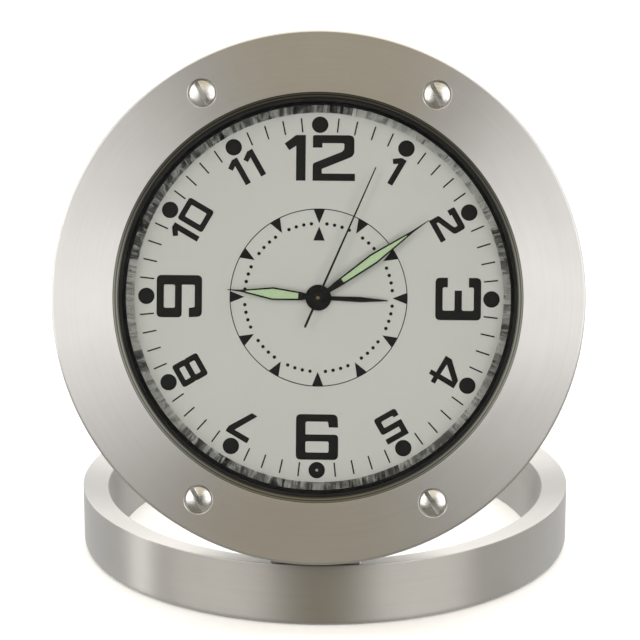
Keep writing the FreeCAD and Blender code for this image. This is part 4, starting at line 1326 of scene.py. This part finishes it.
@dataclass
class Studio:
    """Pale floor, soft lights and the camera."""

    head: AxisFrame
    finishes: Finishes
    distance: float = 0.400
    lens: float = 134.0
    azimuth_deg: float = 2.3
    elevation_deg: float = 15.4
    aim_right: float = 0.45 * MM
    aim_down: float = 3.72 * MM
    top_edge: float = 0.21
    low_edge: float = 0.50
    edge_blur: float = 0.04
    side_tone: Colour = (1.0, 0.985, 0.965)
    top_tone: Colour = (1.1, 0.97, 0.72)
    low_tone: Colour = (0.30, 0.28, 0.235)
    under_tone: Colour = (0.33, 0.31, 0.27)
    front_tone: Colour = (0.05, 0.05, 0.045)
    back_tone: Colour = (0.78, 0.78, 0.78)
    up_blur: float = 0.05
    dim_reach: float = 0.3
    ground_fade: float = 0.14
    front_start: float = -0.985
    front_end: float = -0.955
    back_full: float = 0.4
    floor_size: float = 6.0
    sensor: float = 36.0

    def build(self) -> None:
        """Lay the floor, hang the lights and set the camera."""
        self.floor()
        self.world()
        self.softbox("left_box", (-0.8, -0.75, 0.45), (1.0, 1.0), 5.0, (1.0, 0.985, 0.96))
        self.softbox("right_box", (0.8, -0.75, 0.45), (1.0, 1.0), 6.0, (1.0, 0.99, 0.975))
        self.softbox("strip_box", (-1.0, -0.03, 0.20), (0.2, 0.9), 1.6, (1.0, 1.0, 1.0))
        self.softbox("back_box", (0.0, 0.75, 1.05), (2.4, 1.6), 22.0, (1.0, 1.0, 1.0))
        self.camera()

    def floor(self) -> None:
        """A wide sheet of paper."""
        Bench.clear()
        bpy.ops.mesh.primitive_plane_add(size=self.floor_size, location=(0, 0, 0))
        sheet = bpy.context.object
        sheet.name = "floor"
        dress(sheet, self.finishes.floor)
        sheet.visible_glossy = False

    def world(self) -> None:
        """A soft room: bright at both sides and behind, dimmer above and below, dark in front."""
        world = bpy.data.worlds.new("studio")
        bpy.context.scene.world = world
        world.use_nodes = True
        g = Nodes(world.node_tree)
        way = g.add("ShaderNodeTexCoord").outputs["Generated"]
        side, up, behind = (g.vector("DOT_PRODUCT", way, tuple(axis))
                            for axis in (self.head.across, self.head.up, self.head.along))
        across, tall = g.maths("POWER", side, 2.0), g.maths("POWER", up, 2.0)
        share = g.maths("DIVIDE", across, g.maths("ADD", across, tall))
        edge = g.band(up, -self.up_blur, self.up_blur, self.low_edge, self.top_edge)
        panel = g.band(g.maths("SUBTRACT", share, edge), -self.edge_blur, self.edge_blur)
        dim = g.blend(g.band(up, -self.dim_reach, self.dim_reach), self.low_tone, self.top_tone)
        room = g.blend(panel, dim, self.side_tone)
        level = g.vector("DOT_PRODUCT", way, (0.0, 0.0, 1.0))
        room = g.blend(g.band(level, -self.ground_fade, 0.0), self.under_tone, room)
        room = g.blend(g.band(behind, self.front_start, self.front_end), self.front_tone, room)
        room = g.blend(g.band(behind, 0.0, self.back_full), room, self.back_tone)
        glow = g.add("ShaderNodeBackground")
        g.feed(room, glow.inputs["Color"])
        g.feed(glow.outputs[0], g.add("ShaderNodeOutputWorld").inputs[0])

    def softbox(self, name: str, place: Tuple[float, float, float], size: Point, power: float,
                colour: Colour) -> None:
        """A rectangular light that faces the clock."""
        light = bpy.data.lights.new(name, "AREA")
        light.shape, light.size, light.size_y = "RECTANGLE", size[0], size[1]
        light.energy, light.color = power, colour
        lamp = bpy.data.objects.new(name, light)
        bpy.context.scene.collection.objects.link(lamp)
        lamp.location = place
        aim = self.head.origin - Vector(place)
        lamp.rotation_euler = aim.to_track_quat("-Z", "Y").to_euler()

    def camera(self) -> None:
        """The camera, a little right of the clock and above it."""
        azimuth, elevation = math.radians(self.azimuth_deg), math.radians(self.elevation_deg)
        away = Vector((math.cos(elevation) * math.sin(azimuth), -math.cos(elevation) * math.cos(azimuth),
                       math.sin(elevation)))
        right = away.cross(Vector((0, 0, 1))).normalized() * -1
        up = right.cross(away).normalized() * -1
        place = self.head.origin + away * self.distance
        aim = self.head.origin + right * self.aim_right - up * self.aim_down
        data = bpy.data.cameras.new("camera")
        data.lens, data.sensor_width = self.lens, self.sensor
        data.clip_start, data.clip_end = 0.01, 20.0
        camera = bpy.data.objects.new("camera", data)
        bpy.context.scene.collection.objects.link(camera)
        camera.location = place
        camera.rotation_euler = (aim - place).to_track_quat("-Z", "Y").to_euler()
        bpy.context.scene.camera = camera
        bpy.context.scene.view_settings.view_transform = "Standard"


def main() -> None:
    """Build the clock's sub-assemblies in order, then the studio."""
    logging.basicConfig(level=logging.INFO, format="%(name)s: %(message)s")
    head, stand = head_frame(), stand_frame()
    finishes = Finishes(head, stand)
    Stand(stand, finishes).build()
    Bezel(head, finishes).build()
    CrystalSeat(head, finishes).build()
    Dial(head, finishes).build()
    Hands(head, finishes).build()
    Case(head, finishes).build()
    Movement(finishes).build()
    Studio(head, finishes).build()
    Bench.clear()


if __name__ == "__main__":
    main()
